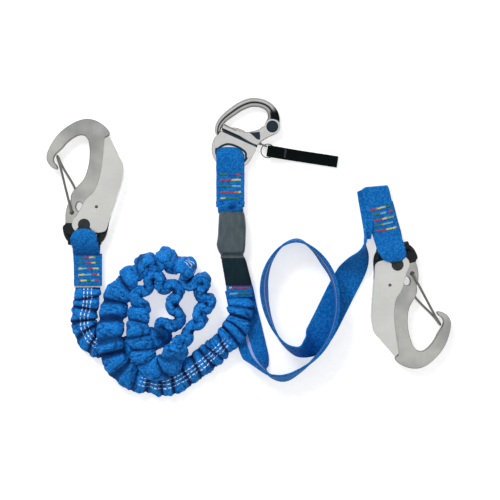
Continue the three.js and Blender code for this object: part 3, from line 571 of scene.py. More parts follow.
def profile_band(name, profile, place, centre_x, half_w, half_t=WEB_HALF, z=0, **more):
    """A band that runs through (y, z) points, straight across x, in a group's own frame."""
    fine, at = catmull(profile, 10)
    line, run, (u,) = resample(fine, 1.2, at / at[-1])
    middle, half_w = (
        np.interp(u, np.linspace(0, 1, np.size(v)), np.atleast_1d(v)) for v in (centre_x, half_w)
    )
    world = local_to_row(np.column_stack([middle, line]), place, z)
    a = math.radians(place[2])
    wide = np.tile([math.cos(a), math.sin(a), 0.0], (len(u), 1))
    along = unit(np.gradient(world, axis=0))
    thin = unit(np.cross(wide, along))
    return band(name, world, run, unit(np.cross(along, thin)), thin, half_w, half_t, **more)


def wire(points, radius, per=3, around=6):
    """Points and faces of a round wire through the points."""
    line, _ = catmull(points, per)
    along = unit(np.gradient(line, axis=0))
    normal = np.cross(along[0], [0.3, 0.1, 1.0])
    a = np.linspace(0, TAU, around, endpoint=False)
    rings = []
    for centre, ahead in zip(line, along):
        normal = unit(normal - ahead * float(normal @ ahead))
        other = np.cross(ahead, normal)
        rings.append(centre + radius * (np.cos(a)[:, None] * normal + np.sin(a)[:, None] * other))
    return np.array(rings).reshape(-1, 3), tube_faces(len(line), around)


def lathe(profile, axis="z", around=40, centre=(0, 0, 0)):
    """Points and faces of a solid turned about z or x, from (radius, height) points."""
    a = np.linspace(0, TAU, around, endpoint=False)
    rings = []
    for r, h in profile:
        ring = np.column_stack([r * np.cos(a), r * np.sin(a), np.full(around, h)])
        if axis == "x":
            ring = ring[:, [2, 0, 1]]
        rings.append(ring + np.array(centre))
    return np.array(rings).reshape(-1, 3), tube_faces(len(profile), around)


def mirrored(profile):
    """A turned profile with the same points again below the middle."""
    return profile + [(r, -h) for r, h in reversed(profile)]


def outward(loop):
    """Unit directions that point out of a closed loop, at each of its points."""
    ahead = unit(np.roll(loop, -1, axis=0) - np.roll(loop, 1, axis=0))
    x, y = loop[:, 0], loop[:, 1]
    area = float(np.sum(x * np.roll(y, -1) - np.roll(x, -1) * y))
    return np.column_stack([ahead[:, 1], -ahead[:, 0]]) * (1 if area > 0 else -1)


def slab(outline, z0, z1, edge, holes=()):
    """Points and faces of a flat part with rounded edges, its outline a dense list of (x, y)."""
    loops = [np.array(loop, float)[:, :2] for loop in (outline, *holes)]
    away = [outward(loop) * (1 if k == 0 else -1) for k, loop in enumerate(loops)]
    low = [(edge * (1 - math.sin(a)), z0 + edge * (1 - math.cos(a))) for a in np.linspace(0, math.pi / 2, 4)]
    levels = low + [(inset, z0 + z1 - z) for inset, z in reversed(low)]
    points = np.concatenate([
        np.column_stack([loop - out * inset, np.full(len(loop), z)])
        for inset, z in levels
        for loop, out in zip(loops, away)
    ])
    starts = np.cumsum([0] + [len(loop) for loop in loops]).tolist()
    size = starts[-1]
    faces = []
    for level in range(len(levels) - 1):
        for loop, start in zip(loops, starts):
            first = level * size + start
            for j in range(len(loop)):
                a, b = first + j, first + (j + 1) % len(loop)
                faces.append((a, b, b + size, a + size))
    flat = [[Vector((x, y, 0)) for x, y, _ in points[a:b]] for a, b in zip(starts, starts[1:])]
    top = (len(levels) - 1) * size
    for a, b, c in tessellate_polygon(flat):
        faces += [(c, b, a), (a + top, b + top, c + top)]
    return points, faces


def circle(x, y, radius, count):
    a = np.linspace(0, TAU, count, endpoint=False)
    return np.column_stack([x + radius * np.cos(a), y + radius * np.sin(a)])


def flowing(points, per, closed=False):
    """A smooth outline through the points."""
    return catmull(points, per, closed)[0]


def solid(name, parts, place, z, body, material, slot, replaces=(), sharp=MOULDED_SHARP, shades=None):
    """One piece from several (points, faces) in a group's own frame; shades darkens each part's points."""
    points, faces = joined(parts)
    values = {"fold": np.concatenate(shades)} if shades else None
    mesh = mesh_of(name, local_to_row(points, place, z), faces, values, sharp)
    for face in mesh.polygons:
        if abs(face.normal.z) > FLAT_ENOUGH:
            face.use_smooth = False
    return piece(mesh, name, body, material, replaces)


# ------------------------------------------------------------------ the two legs


FOLD_PITCH = [
    (0, 9), (50, 12), (100, 14), (150, 17), (245, 18), (285, 25), (425, 25), (450, 15), (535, 14),
    (555, 25), (650, 24), (672, 14), (808, 10),
]
TRACED_RUNS = [(46, 160), (350, 366), (722, 990)]
CALM_SPOTS = [(434, 26, 0.8), (588, 18, 0.45), (318, 20, 0.3)]
SWAY = 8.6
SWAY_BACK = 1.7
LAID_STEP = 0.8
SNAKED_STEP = 1.05
CUSHION_RISE = 2.6
PINCH_LENGTH = 26
PINCHED = 12.2


def fold_places(length):
    """The distance along the leg of each fold, from the table of (distance, pitch)."""
    rng = random.Random(11)
    knots = [0.0]
    while knots[-1] < length + 30:
        knots.append(knots[-1] + np.interp(knots[-1], *zip(*FOLD_PITCH)) * rng.uniform(0.78, 1.24))
    return np.array(knots)


def square_to(v, along):
    """Directions v made square to the run of a band."""
    return unit(v - along * np.sum(v * along, axis=1, keepdims=True))


def snaked_frames(base, base_run, wide, thin, along, roll, knots, depth):
    """The leg's line where it sways from side to side on its edge, with its directions, and how it stands."""
    edge_on = smooth_step(np.abs(np.sin(roll)), 0.5, 0.95)
    ends = smooth_step(base_run, 0, 14) * smooth_step(base_run[-1] - base_run, 0, 12)
    phase = fold_phase(base_run, knots)
    size = np.interp(base_run, knots, depth) * edge_on * ends
    for spot, reach, cut in CALM_SPOTS:
        size = size * (1 - cut * np.exp(-(((base_run - spot) / reach) ** 2)))
    sideways = thin * (np.sin(phase) * SWAY * size)[:, None]
    snaked = base + sideways - along * (np.sin(2 * phase) * SWAY_BACK * size)[:, None]
    carried = (base_run, edge_on, ends, *wide.T, *thin.T)
    line, _, (run, edge_on, ends, *parts) = resample(snaked, SNAKED_STEP, *carried)
    along = unit(np.gradient(line, axis=0))
    wide, thin = (square_to(np.array(part).T, along) for part in (parts[:3], parts[3:]))
    return line, run, edge_on, ends, wide, thin


def fold_phase(run, knots):
    """The angle of the folds at each distance along the leg: one turn for each fold."""
    return TAU * np.interp(run, knots, np.arange(len(knots)))


def between(run, start, full, fading, stop):
    """One from full to fading, and nothing before start or after stop."""
    return smooth_step(run, start, full) * (1 - smooth_step(run, fading, stop))


def elastic_leg():
    """Puckered tube over elastic: it snakes where it stands on edge and stacks in cushions where flat."""
    base, base_run, *frames = route_frames(ELASTIC_ROUTE, ELASTIC_WIDTH, ELASTIC_THICK, LAID_STEP)
    knots = fold_places(base_run[-1])
    rng = random.Random(5)
    skew, depth, poke, slide = (
        np.array([rng.uniform(low, high) for _ in knots])
        for low, high in ((-0.3, 0.3), (0.6, 1.0), (-0.09, 0.1), (-1.7, 1.7))
    )
    line, run, edge_on, ends, wide, thin = snaked_frames(base, base_run, *frames, knots, depth)
    n, m = len(line), 40
    a = np.linspace(0, TAU, m, endpoint=False)
    x0 = blunt(np.cos(a), 0.82)[None, :]
    z0 = blunt(np.sin(a), 0.74)[None, :]
    s = run[:, None] + 0 * x0
    s_here = s + np.interp(s, knots, skew) * x0 * ELASTIC_WIDTH / 2
    crest = np.abs(np.sin(fold_phase(s_here, knots) / 2))
    wide_dark = between(run, 160, 185, 245, 262)[:, None]
    crest = crest ** (0.5 + 0.35 * wide_dark)
    strength = np.interp(s_here, knots, depth)
    flat = (1 - edge_on)[:, None]
    open_ends = ends[:, None]
    valley = (1 - crest) * strength * flat
    half_t = ELASTIC_THICK / 2 * (1 - 0.66 * valley) + CUSHION_RISE * crest * flat * (1 - x0**4)
    widened = np.interp(s, knots, poke) * flat
    half_w = ELASTIC_WIDTH / 2 * (1 - 0.2 * valley + widened - 0.05 * (1 - open_ends))
    px = x0 * half_w + np.interp(s, knots, slide) * flat * open_ends
    pz = z0 * half_t * (0.55 + 0.45 * open_ends)
    points = swept(line, (wide, px), (thin, pz)).reshape(-1, 3)
    normal = swept(0 * line, (wide, x0), (thin, z0)).reshape(-1, 3)
    side = np.broadcast_to(z0, (n, m))
    lumps = [noise.noise(Vector(p * 0.085)) * 2.4 + noise.noise(Vector(p * 0.23)) * 1.5 for p in points]
    ridge = [1 - 2 * abs(noise.noise(Vector((r * 0.21, w * 0.06, t * 0.6))))
             for r, w, t in zip(s.ravel(), px.ravel(), side.ravel())]
    creased = smooth_step(np.array(ridge), 0.78, 1.0)
    points = points + normal * ((np.array(lumps) - 1.5 * creased) * np.repeat(ends, m))[:, None]
    points[:, 2] = np.maximum(points[:, 2], FLOOR_GAP)
    traced = np.max([between(run, start, start + 6, stop - 6, stop) for start, stop in TRACED_RUNS], axis=0)
    # Painted shade: darker in the valleys between cushions, on the inner side of bends and along the creases,
    # more so towards the ends.
    end_dark = np.maximum(smooth_step(run, 716, 732), 0.6 * (1 - smooth_step(run, 150, 170)))[:, None]
    dark = smooth_step(1 - crest, 0.14, 0.7 - 0.2 * wide_dark - 0.28 * end_dark) * flat
    dark = dark * np.minimum(1.0, (0.4 + 0.6 * strength) * (1 + 0.5 * end_dark))
    inside_bend = smooth_step(np.sin(fold_phase(run, knots))[:, None] * -z0, 0.0, 0.6) * (1 - flat)
    fold = np.maximum(np.maximum(dark, 0.95 * inside_bend), 0.8 * creased.reshape(n, m))
    fold = fold * np.maximum(ends, smooth_step(run, 700, 800))[:, None]
    data = dict(along=s, across=px, side=side, fold=fold, traced=np.repeat(traced, m))
    mesh = mesh_of("elastic_leg_sleeve", points, tube_faces(n, m), data, FABRIC_SHARP)
    obj = piece(mesh, "elastic_leg_sleeve", "webbing", "elastic", ["elastic_leg"])


def flat_leg():
    """Flat webbing that stands on its edge in the bends, and is pinched together at its end."""
    line, run, wide, thin, _, roll = route_frames(FLAT_ROUTE, FLAT_WIDTH, FLAT_THICK, 1.5)
    pinch = smooth_step(run, run[-1] - PINCH_LENGTH, run[-1] - 1)
    lost = PINCHED * pinch
    low = line - np.array([0, 0, 1.0]) * (lost * np.abs(np.sin(roll)))[:, None]
    ripple = 1.1 * np.sin(run / 3.1)[:, None] * pinch[:, None]
    mesh = band("flat_leg_webbing", low, run, wide, thin, FLAT_WIDTH / 2 - lost, FLAT_THICK / 2,
                lambda u, x: (0 * x, ripple * np.sin(x * 5.0)), 19)
    obj = piece(mesh, "flat_leg_webbing", "webbing", "leg", ["flat_leg"])


elastic_leg()
flat_leg()


# ------------------------------------------------------------------ sewn webbing


def thread(name, parts, hues, runs, place, z, body="webbing", replaces=()):
    """Sewing thread as one piece, from wires with a colour and a distance for each of their points."""
    points, faces = joined(parts)
    mesh = mesh_of(name, local_to_row(points, place, z), faces, {"along": runs}, FABRIC_SHARP, hues)
    return piece(mesh, name, body, "thread", replaces)


def tacks(name, rows, place, z, replaces):
    """Rows of dense zigzag stitching. A row is (x0, x1, y, slope, colours), each colour after its share."""
    parts, hues, runs = [], [], []
    rng = random.Random(len(rows) * 7 + int(abs(place[0])))
    for x0, x1, y, slope, colors in rows:
        words = colors.split()
        names = words[1::2]
        counts = [int(word) for word in words[::2]]
        shares = np.cumsum(counts) / sum(counts)
        zigs = max(6, int(abs(x1 - x0) / STITCH_PITCH))
        points = []
        for i in range(zigs * 2 + 1):
            u = i / (zigs * 2)
            tall = STITCH_REACH * rng.uniform(0.75, 1.2)
            sewn_y = y + slope * (u - 0.5) + (tall if i % 2 else -tall)
            points.append((x0 + (x1 - x0) * u, sewn_y, rng.uniform(-0.05, 0.08)))
        parts.append(wire(points, THREAD_RADIUS))
        for q in parts[-1][0]:
            u = (q[0] - x0) / (x1 - x0)
            k = min(int(np.searchsorted(shares, np.clip(u, 0, 0.999))), len(names) - 1)
            hues.append(THREAD_COLORS[names[k]])
            runs.append(q[0] + q[1])
    thread(name, parts, hues, runs, place, z, replaces=replaces)


def fray(name, x0, x1, y, z, place):
    """Pale cut yarn ends that show past a sewn edge."""
    rng = random.Random(3)
    parts = []
    for i in range(int((x1 - x0) / FRAY_PITCH)):
        x = x0 + FRAY_PITCH * i + rng.uniform(-0.1, 0.1)
        long = rng.uniform(0.5, 1.3)
        parts.append(wire([(x, y + 0.4, z), (x + rng.uniform(-0.3, 0.3), y - long, z - 0.2)], 0.3))
    runs = [q[1] for p, _ in parts for q in p]
    thread(name, parts, [rgb(196, 188, 182)] * len(runs), runs, place, 0)


def each_point(mesh, place, change):
    """Calls change(index, x, y) in the group's own frame, and moves the point to where that answers."""
    a = math.radians(place[2])
    ca, sa = math.cos(a), math.sin(a)
    for v in mesh.vertices:
        x, y = v.co.x / MM - place[0], v.co.y / MM - place[1]
        moved = change(v.index, x * ca + y * sa, -x * sa + y * ca)
        if moved:
            v.co.x = (place[0] + moved[0] * ca - moved[1] * sa) * MM
            v.co.y = (place[1] + moved[0] * sa + moved[1] * ca) * MM


def plan_rounding(mesh, place, front_y, reach, left, right, centre_x, half):
    """Pulls the corners of a folded nose back by left and right, so that it is domed in plan."""

    def domed(_, x, y):
        near = smooth_step((y - (front_y - reach)) / reach, 0.0, 1.0)
        out = (x - centre_x) / half
        lean = left if out < 0 else right
        return x - near * 0.06 * (x - centre_x) * abs(out), y - near * lean * abs(out) ** 3.2

    each_point(mesh, place, domed)


def darken(mesh, place, amount):
    """Adds painted shade where amount(x, y) says so, in the group's own frame."""
    layer = mesh.attributes["fold"].data

    def shaded(index, x, y):
        layer[index].value = max(layer[index].value, float(amount(x, y)))

    each_point(mesh, place, shaded)


def skew_fold(mesh, place, near_y, reach, amount, half):
    """Turns a folded end out of square, so that one corner sits back from the other."""

    def skewed(_, x, y):
        near = smooth_step(near_y + reach - y, 0.0, reach)
        out = np.clip((half - x) / (2 * half), 0, 1)
        return x, y + near * (amount * out + 2.4 * max(0.0, (x - 0.6 * half) / (0.4 * half)) ** 2)

    each_point(mesh, place, skewed)


def left_end():
    place = LEFT_HOOK
    profile = [
        (-64, 3.9), (-46, 3.9), (-36, 4.1), (-31.6, 5.2), (-28, 9.6), (-22.6, 15.2), (-16.4, 18.6),
        (-10.4, 19.4), (-6.4, 18.7), (-5.5, 17.6), (-7.0, 17.0), (-9.0, 16.2), (-9.6, 12.6), (-9.5, 8),
        (-11.4, 2.9), (-16.2, 1.5), (-24, 1.5), (-40, 1.5), (-64, 1.5),
    ]
    middle = [3, 3, 2.8, 0.6, 0.2, 0.2, 0.2, 0.2, 1, 2]
    half = [13.8, 13.4, 13.2, 14.8, 15.1, 15.1, 15, 15, 14.6, 14]
    mesh = profile_band("left_loop", profile, place, middle, half, columns=21)
    plan_rounding(mesh, place, -5.4, 15, 8.6, 8.2, 0.2, 15)
    soft_lumps(mesh, 0.10, 0.55)
    webbing(mesh, "left_loop_webbing", ["left_webbing_loop"], follows("left_hook", place, -33, -20))
    panel = [(-64.3, 6.6), (-50, 6.6), (-30.4, 6.7)]
    mesh = profile_band("left_panel", panel, place, 3.6, 14.5, columns=19)

    # Painted shade along the panel's bottom edge and where the hump meets its top edge.
    def edges(_, y):
        return 0.95 * smooth_step(-63.2 - y, -0.3, 0.9) + 0.85 * smooth_step(y, -33.5, -30.6)

    darken(mesh, place, edges)
    webbing(mesh, "left_panel_webbing", ["left_stitched_panel"])
    rows = [
        (-4.6, 11.4, -34.4, 0.5, "2 green 1 blue 4 red 3 yellow 2 lime"),
        (-6.6, 14.2, -40.0, 0.3, "3 green 2 blue 4 red 3 yellow 2 green"),
        (-6.6, 14.6, -46.0, 0.2, "3 yellow 3 light 4 red 4 yellow"),
        (-6.6, 15.0, -52.4, 0.2, "4 yellow 4 light 4 red 1 yellow"),
        (-6.0, 15.0, -58.6, 0.2, "1 red 4 yellow 3 green 2 light 3 red"),
    ]
    tacks("left_tack_stitching", rows, place, 8.15, ["left_bar_tacks"])
    fray("left_panel_cut_edge", -10.6, 17.8, -64.9, 9.9, place)


def soft_lumps(mesh, scale, amount):
    """Gentle unevenness of handled cloth, which stays just above the floor."""
    normals = [v.normal.copy() for v in mesh.vertices]
    for v, normal in zip(mesh.vertices, normals):
        p = v.co / MM
        v.co += normal * (noise.noise(p * scale) * amount + noise.noise(p * scale * 3) * amount * 0.3) * MM
        v.co.z = max(v.co.z, FLOOR_GAP * MM)


def webbing(mesh, name, replaces=(), body="webbing", material="webbing"):
    """A piece of blue webbing on the webbing's own body, unless it says otherwise."""
    return piece(mesh, name, body, material, replaces)


def right_end():
    place = RIGHT_HOOK
    profile = [
        (-52, 1.5), (-70, 1.5), (-82.5, 1.5), (-86, 2.3), (-87, 3.9), (-86, 5.6), (-82.5, 6.4), (-70, 6.3),
        (-50, 6.3), (-36, 6.5), (-30, 8.2), (-25, 12.4), (-20.6, 15.9), (-15.6, 18.2), (-9.6, 18.9),
        (-5.6, 18.4), (-4.7, 17.5), (-6.4, 16.9), (-8.8, 16.1), (-9.6, 12.6), (-9.35, 8), (-11.4, 2.9),
        (-16.2, 1.5), (-24, 1.5), (-32, 2.9), (-44, 3.9), (-66, 3.9),
    ]
    middle = [2.7] * 8 + [2.4, 1.8, 1.8, 1.6, 1.2, 1.8]
    mesh = profile_band("right_loop", profile, place, middle, 14.4, columns=21)
    plan_rounding(mesh, place, -4.6, 13, 6.2, 8.2, 1.6, 14.4)
    skew_fold(mesh, place, -87, 12, 5.4, 16)
    soft_lumps(mesh, 0.08, 0.35)
    webbing(mesh, "right_loop_webbing", ["right_webbing_loop"], follows("right_hook", place, -33, -20))

    def bunched(u, x):
        return 2.2 * (1 - u) ** 6 * np.clip(x, 0, 1) ** 2, 0.7 * u * np.sin(x * 5.0)

    back = [(-85, 1.6), (-76, 1.9), (-62, 3.8), (-50, 7.0), (-41, 8.6), (-33.4, 8.8)]
    middle, half = [11.8, 13.4, 16.0, 18.9, 21.0, 22.8], [9.2, 8.8, 7.4, 5.6, 4.4, 3.0]
    thin = WEB_HALF * 0.9
    mesh = profile_band("right_back", back, place, middle, half, thin, 0.1, shift=bunched, columns=21)
    webbing(mesh, "right_back_webbing")
    rows = [
        (13.0, -9.0, -62.0, 0.6, "3 red 1 orange 4 yellow 3 green"),
        (12.4, -9.2, -56.2, 0.6, "4 green 3 light 1 blue 2 red"),
        (12.6, -9.2, -50.2, 0.6, "4 red 2 yellow 3 lime"),
        (12.6, -9.2, -44.6, 0.6, "3 green 1 lime 4 light 1 blue"),
        (12.4, -9.0, -38.6, 0.6, "4 red 4 yellow"),
    ]
    tacks("right_tack_stitching", rows, place, 7.95, ["right_bar_tacks"])


def shackle_loop():
    profile = [
        (29, 1.5), (60, 1.5), (80, 1.7), (86.4, 1.9), (89.6, 3.6), (90.8, 6.2), (89.6, 9), (86.4, 10.7),
        (80, 10.8), (71, 10.2), (63, 8.7), (50, 8.7), (36, 8.7), (29, 8.4),
    ]
    mesh = profile_band("shackle_loop", profile, TRUNK, TRUNK_X, 14.8, columns=23)
    plan_rounding(mesh, TRUNK, 92, 9, 2.4, 6.6, TRUNK_X, 14.8)
    soft_lumps(mesh, 0.09, 0.4)
    webbing(mesh, "shackle_loop_webbing", ["shackle_webbing_loop"], follows("shackle", TRUNK, 66, 84))
    for k, z in enumerate((3.9, 6.3)):
        inner = [(y, z) for y in (30, 46, 64)]
        mesh = profile_band("shackle_layer", inner, TRUNK, TRUNK_X, 14.7, WEB_HALF * 0.97)
        webbing(mesh, f"shackle_loop_layer_{k + 1}")
    rows = [
        (-28.6, -7.4, 63.0, -0.6, "3 green 4 blue 2 red"),
        (-28.6, -7.2, 57.0, 0.7, "5 red 4 yellow"),
        (-28.4, -7.2, 50.8, -0.5, "5 green 4 light"),
        (-28.2, -7.0, 44.2, 0.3, "6 red 2 orange 1 yellow"),
        (-28.0, -8.8, 38.0, 0.2, "2 yellow 5 green 1 green"),
    ]
    tacks("shackle_tack_stitching", rows, TRUNK, 10.25, ["shackle_loop_bar_tacks"])
    gather()


def gather():
    """Webbing bunched up above the sleeve, in slanting folds."""
    n, around = 26, 44
    a = np.linspace(0, TAU, around, endpoint=False)
    x, z = blunt(np.cos(a), 0.6), blunt(np.sin(a), 0.6)
    rings = np.zeros((n, around, 3))
    fold = np.zeros((n, around))
    course = np.linspace(35.4, 22.0, n)
    for i, y in enumerate(course):
        u = i / (n - 1)
        half = 14.9 - 2.6 * u**1.6 + 0.5 * math.sin(u * 9)
        top = 10.9 + 1.2 * math.sin(math.pi * u) - 1.0 * u
        mid, tall = (top + 1.2) / 2, (top - 1.2) / 2
        slant = np.sin((x * 1.3 + u * 2.1) * 3.3 + 0.6) * 0.7 + np.sin((x * 1.1 - u * 3.0) * 2.6 + 2.2) * 0.4
        rise = (slant * 2.1) * np.clip(z, 0, 1) * math.sin(math.pi * min(1, u + 0.12)) ** 0.5
        rings[i, :, 0] = TRUNK_X + 0.4 * u + x * half
        rings[i, :, 1] = y + 0.8 * slant
        rings[i, :, 2] = np.maximum(mid + z * tall + rise, 0.4)
        # Painted shade in the hollows of the slanting folds.
        fold[i] = np.clip(-slant * 1.2, 0, 1) ** 1.3
    side = np.tile(np.sin(a), (n, 1))
    data = dict(along=np.repeat(course, around), across=rings[:, :, 0], side=side, fold=fold, traced=0 * fold)
    mesh = mesh_of("gathered_webbing", rings.reshape(-1, 3), tube_faces(n, around), data, FABRIC_SHARP)
    webbing(mesh, "gathered_webbing")


def junction():
    for k, z in enumerate((0.0, 2.35)):
        profile = [(y, h + z - 0.4) for y, h in ((-49.6, 5.0), (-56, 5.0), (-66.2, 4.9))]
        mesh = profile_band("junction_tab", profile, TRUNK, [-9.6, -8.6, -7.8], [13.4, 13.8, 14], columns=19)
        webbing(mesh, f"leg_junction_layer_{k + 1}", ["leg_junction_tab"] if k else ())
    rows = [
        (-19.0, 2.6, -55.8, 0.2, "1 yellow 8 red"),
        (-18.6, 3.0, -62.0, 0.3, "3 light 5 green"),
    ]
    tacks("junction_tack_stitching", rows, TRUNK, 8.5, ["leg_junction_tacks"])


def loft_shell(name, stations, exponent, lumps, slot, node):
    """A soft shell through (y, left x, right x, bottom z, top z) stations, open at both ends with a wall."""
    fine = catmull(stations, 6)[0]
    n, around = len(fine), 56
    a = np.linspace(0, TAU, around, endpoint=False)
    x, z = blunt(np.cos(a), exponent), blunt(np.sin(a), exponent)
    rings = []
    for inset in (0.0, SLEEVE_WALL):
        for y, left, right, low, high in fine:
            hx, hz = (right - left) / 2 - inset, (high - low) / 2 - inset
            cx, cz = (left + right) / 2, (low + high) / 2
            ring = np.column_stack([cx + x * hx, np.full(around, y), cz + z * hz])
            if not inset:
                for p in ring:
                    p[2] += max(0, p[2] - 6) / 8 * lumps * noise.noise(Vector(p * 0.11))
            rings.append(ring)
    inner = n * around
    faces = tube_faces(n, around, capped=False) + [f[::-1] for f in tube_faces(n, around, inner, False)]
    for start in (0, (n - 1) * around):
        for j in range(around):
            here, ahead = start + j, start + (j + 1) % around
            faces.append((here, ahead, ahead + inner, here + inner))
    mesh = mesh_of(name, np.concatenate(rings), faces, sharp=ROUND_SHARP)
    piece(mesh, name, "webbing", slot, [node])


def sleeves():
    upper = [
        (24.0, -28.2, -4.4, 1.2, 12.2), (22.8, -29.2, -3.6, 0.7, 13.2), (20, -30.0, -2.9, 0.4, 15.2),
        (14, -30.4, -2.0, 0.4, 16.2), (6, -30.8, -1.6, 0.4, 16.3), (-2, -31.2, -1.8, 0.4, 16.4),
        (-7.0, -32.0, -2.0, 0.4, 16.6), (-10.4, -32.5, -2.1, 0.4, 16.2), (-14, -31.8, -2.4, 0.4, 15.7),
        (-18.6, -30.0, -3.2, 0.4, 15.2), (-20.8, -28.6, -4.2, 0.5, 12.6), (-22.4, -28.2, -4.0, 0.5, 11.4),
        (-24.2, -28.4, -2.9, 0.5, 11.8), (-25.6, -28.0, -2.6, 0.7, 11.6),
    ]
    lower = [
        (-23.4, -27.0, -3.8, 0.6, 10.8), (-25.4, -27.4, -2.4, 0.5, 12.0), (-28, -27.2, -1.4, 0.4, 12.4),
        (-34, -26.2, 0.2, 0.4, 12.3), (-42, -24.8, 2.2, 0.4, 12.0), (-49, -23.6, 4.0, 0.4, 11.4),
        (-52.2, -23.1, 4.7, 0.5, 10.8), (-53.0, -23.0, 4.8, 0.7, 10.3),
    ]
    loft_shell("upper_sleeve_cover", upper, 0.5, 0.9, "sleeve_top", "upper_sleeve")
    loft_shell("lower_sleeve_cover", lower, 0.42, 0.7, "sleeve_low", "lower_sleeve")


left_end()
right_end()
shackle_loop()
junction()
sleeves()


# ------------------------------------------------------------------ hooks

PLATE_CHAIN = [
    (18.6, 1), (20.2, 10), (20.8, 30), (22.6, 48), (23, 70), (21.6, 88), (22.0, 91.4), (26, 94), (25.4, 98.3),
    (16.9, 106.7), (5.5, 110.9), (-4.7, 109.7), (-16.8, 103.7), (-27.1, 95.3), (-34.9, 84.4), (-39.2, 75),
    (-39.7, 68.7), (-36.8, 62.6), (-31.8, 58.6), (-28.4, 58.1), (-27.9, 59.6), (-28.9, 62.1), (-31.8, 65.6),
    (-32.4, 69.4), (-30.4, 73.4), (-24, 79.6), (-18, 86.2), (-10.8, 91.6), (-4.7, 94), (0.2, 93), (3.9, 88.6),
    (5.25, 81.7), (5.25, 69.1), (3, 57.2), (-1.2, 47), (-7.4, 40.2), (-11.6, 35.4), (-14, 30.4), (-14.6, 26),
    (-17.6, 21), (-19.4, 14), (-20, 8.6), (-19.8, 1),
]
LEVER_CHAIN = [
    (26.1, 92), (41.2, 62), (40.6, 50.7), (39.2, 43.9), (26.2, 4.8), (22.3, -6.2), (17.4, -8.3), (9, -8.4),
    (0, -8.6), (-6.6, -8), (-10.6, -5.4), (-12.7, -0.6), (-11.8, 4.8), (-7.9, 9.7), (-2.6, 19),
    (1.8, 26.6), (10.2, 35), (15, 46), (18.4, 63), (21.2, 90.2),
]
SPINE_CHAIN = [
    (35.4, 73.6), (41.0, 62), (40.4, 50.7), (39.0, 43.9), (27.2, 8.4), (25.6, 9), (37.4, 44.5), (38.7, 51),
    (39.3, 61.6), (33.6, 73.2),
]
EYE_CHAIN = [
    (-19.4, 4.0), (-20.6, 0.4), (-22.6, -1.6), (-22.2, -8), (-19.6, -14.8), (-13.6, -20.2), (0, -21.8),
    (13, -20.8), (18.4, -18.0), (22, -12.6), (24.4, -4), (25.2, 3), (24.6, 6.0), (20.4, 7.0),
]
GATE_WIRE = [
    (-13, 12.7, 0.8), (-13, 12.7, 4.4), (-13.2, 13.8, 5.9), (-18.6, 35, 5.9), (-25.4, 62.6, 5.6),
    (-27.6, 69.4, 5.0), (-28.2, 71.6, 3.4), (-28.2, 71.9, 0), (-28.2, 71.4, -3.4), (-27, 67.8, -5.0),
    (-24.2, 61.6, -5.6), (-10.4, 36.6, -5.9), (-10.2, 28, -5.9), (-12.6, 14.1, -5.9), (-13, 12.7, -4.4),
    (-13, 12.7, -0.8),
]


EYE_OPENING = [
    (-15.0, -13.2), (-14.2, -11.8), (-10.6, -9.4), (0, -8.2), (10.6, -9.4), (14.2, -11.8), (15.0, -13.2),
    (0, -13),
]
EYE_RIM = [
    (-20.8, -9.6), (-19.8, -13.8), (-13.8, -19.6), (0, -21.2), (13, -20.2), (18.2, -17.6), (22.6, -10.4),
    (21.6, -9.4), (16.4, -9.6), (15.2, -12.9), (0, -13.2), (-15.2, -12.9), (-16.2, -9.6),
]
PLATE_RING = [
    (-18, 0.9), (-19.6, -3), (-18.6, -9), (-15, -15.4), (-8, -18.6), (8, -18.6), (15, -16), (19.4, -10),
    (21.4, -3), (19.4, 0.9),
]
PLATE_RING_HOLE = [(-16.2, -12.8), (-16.2, -5), (16.2, -5), (16.2, -12.8)]
COLLAR = [(-8.8, -9.6), (-8.6, -6.4), (-5.6, -2.2), (5.6, -2.2), (8.2, -5.2), (9.2, -9.2)]
BAR_PROFILE = [(0.1, -17.4), (4.4, -17.4), (5.2, -16.8), (5.2, 16.8), (4.4, 17.4), (0.1, 17.4)]
RIVET_HEAD = [
    (0.05, 7.75), (2.2, 7.75), (2.6, 7.5), (3.4, 7.5), (3.8, 7.7), (5.4, 7.55), (6.05, 7.2), (6.3, 6.75),
    (6.2, 6.6), (3, 6.6),
]
PIN_HEAD = [(0.05, 6.9), (0.9, 6.9), (1.25, 6.8), (1.4, 6.62), (1.2, 6.6)]


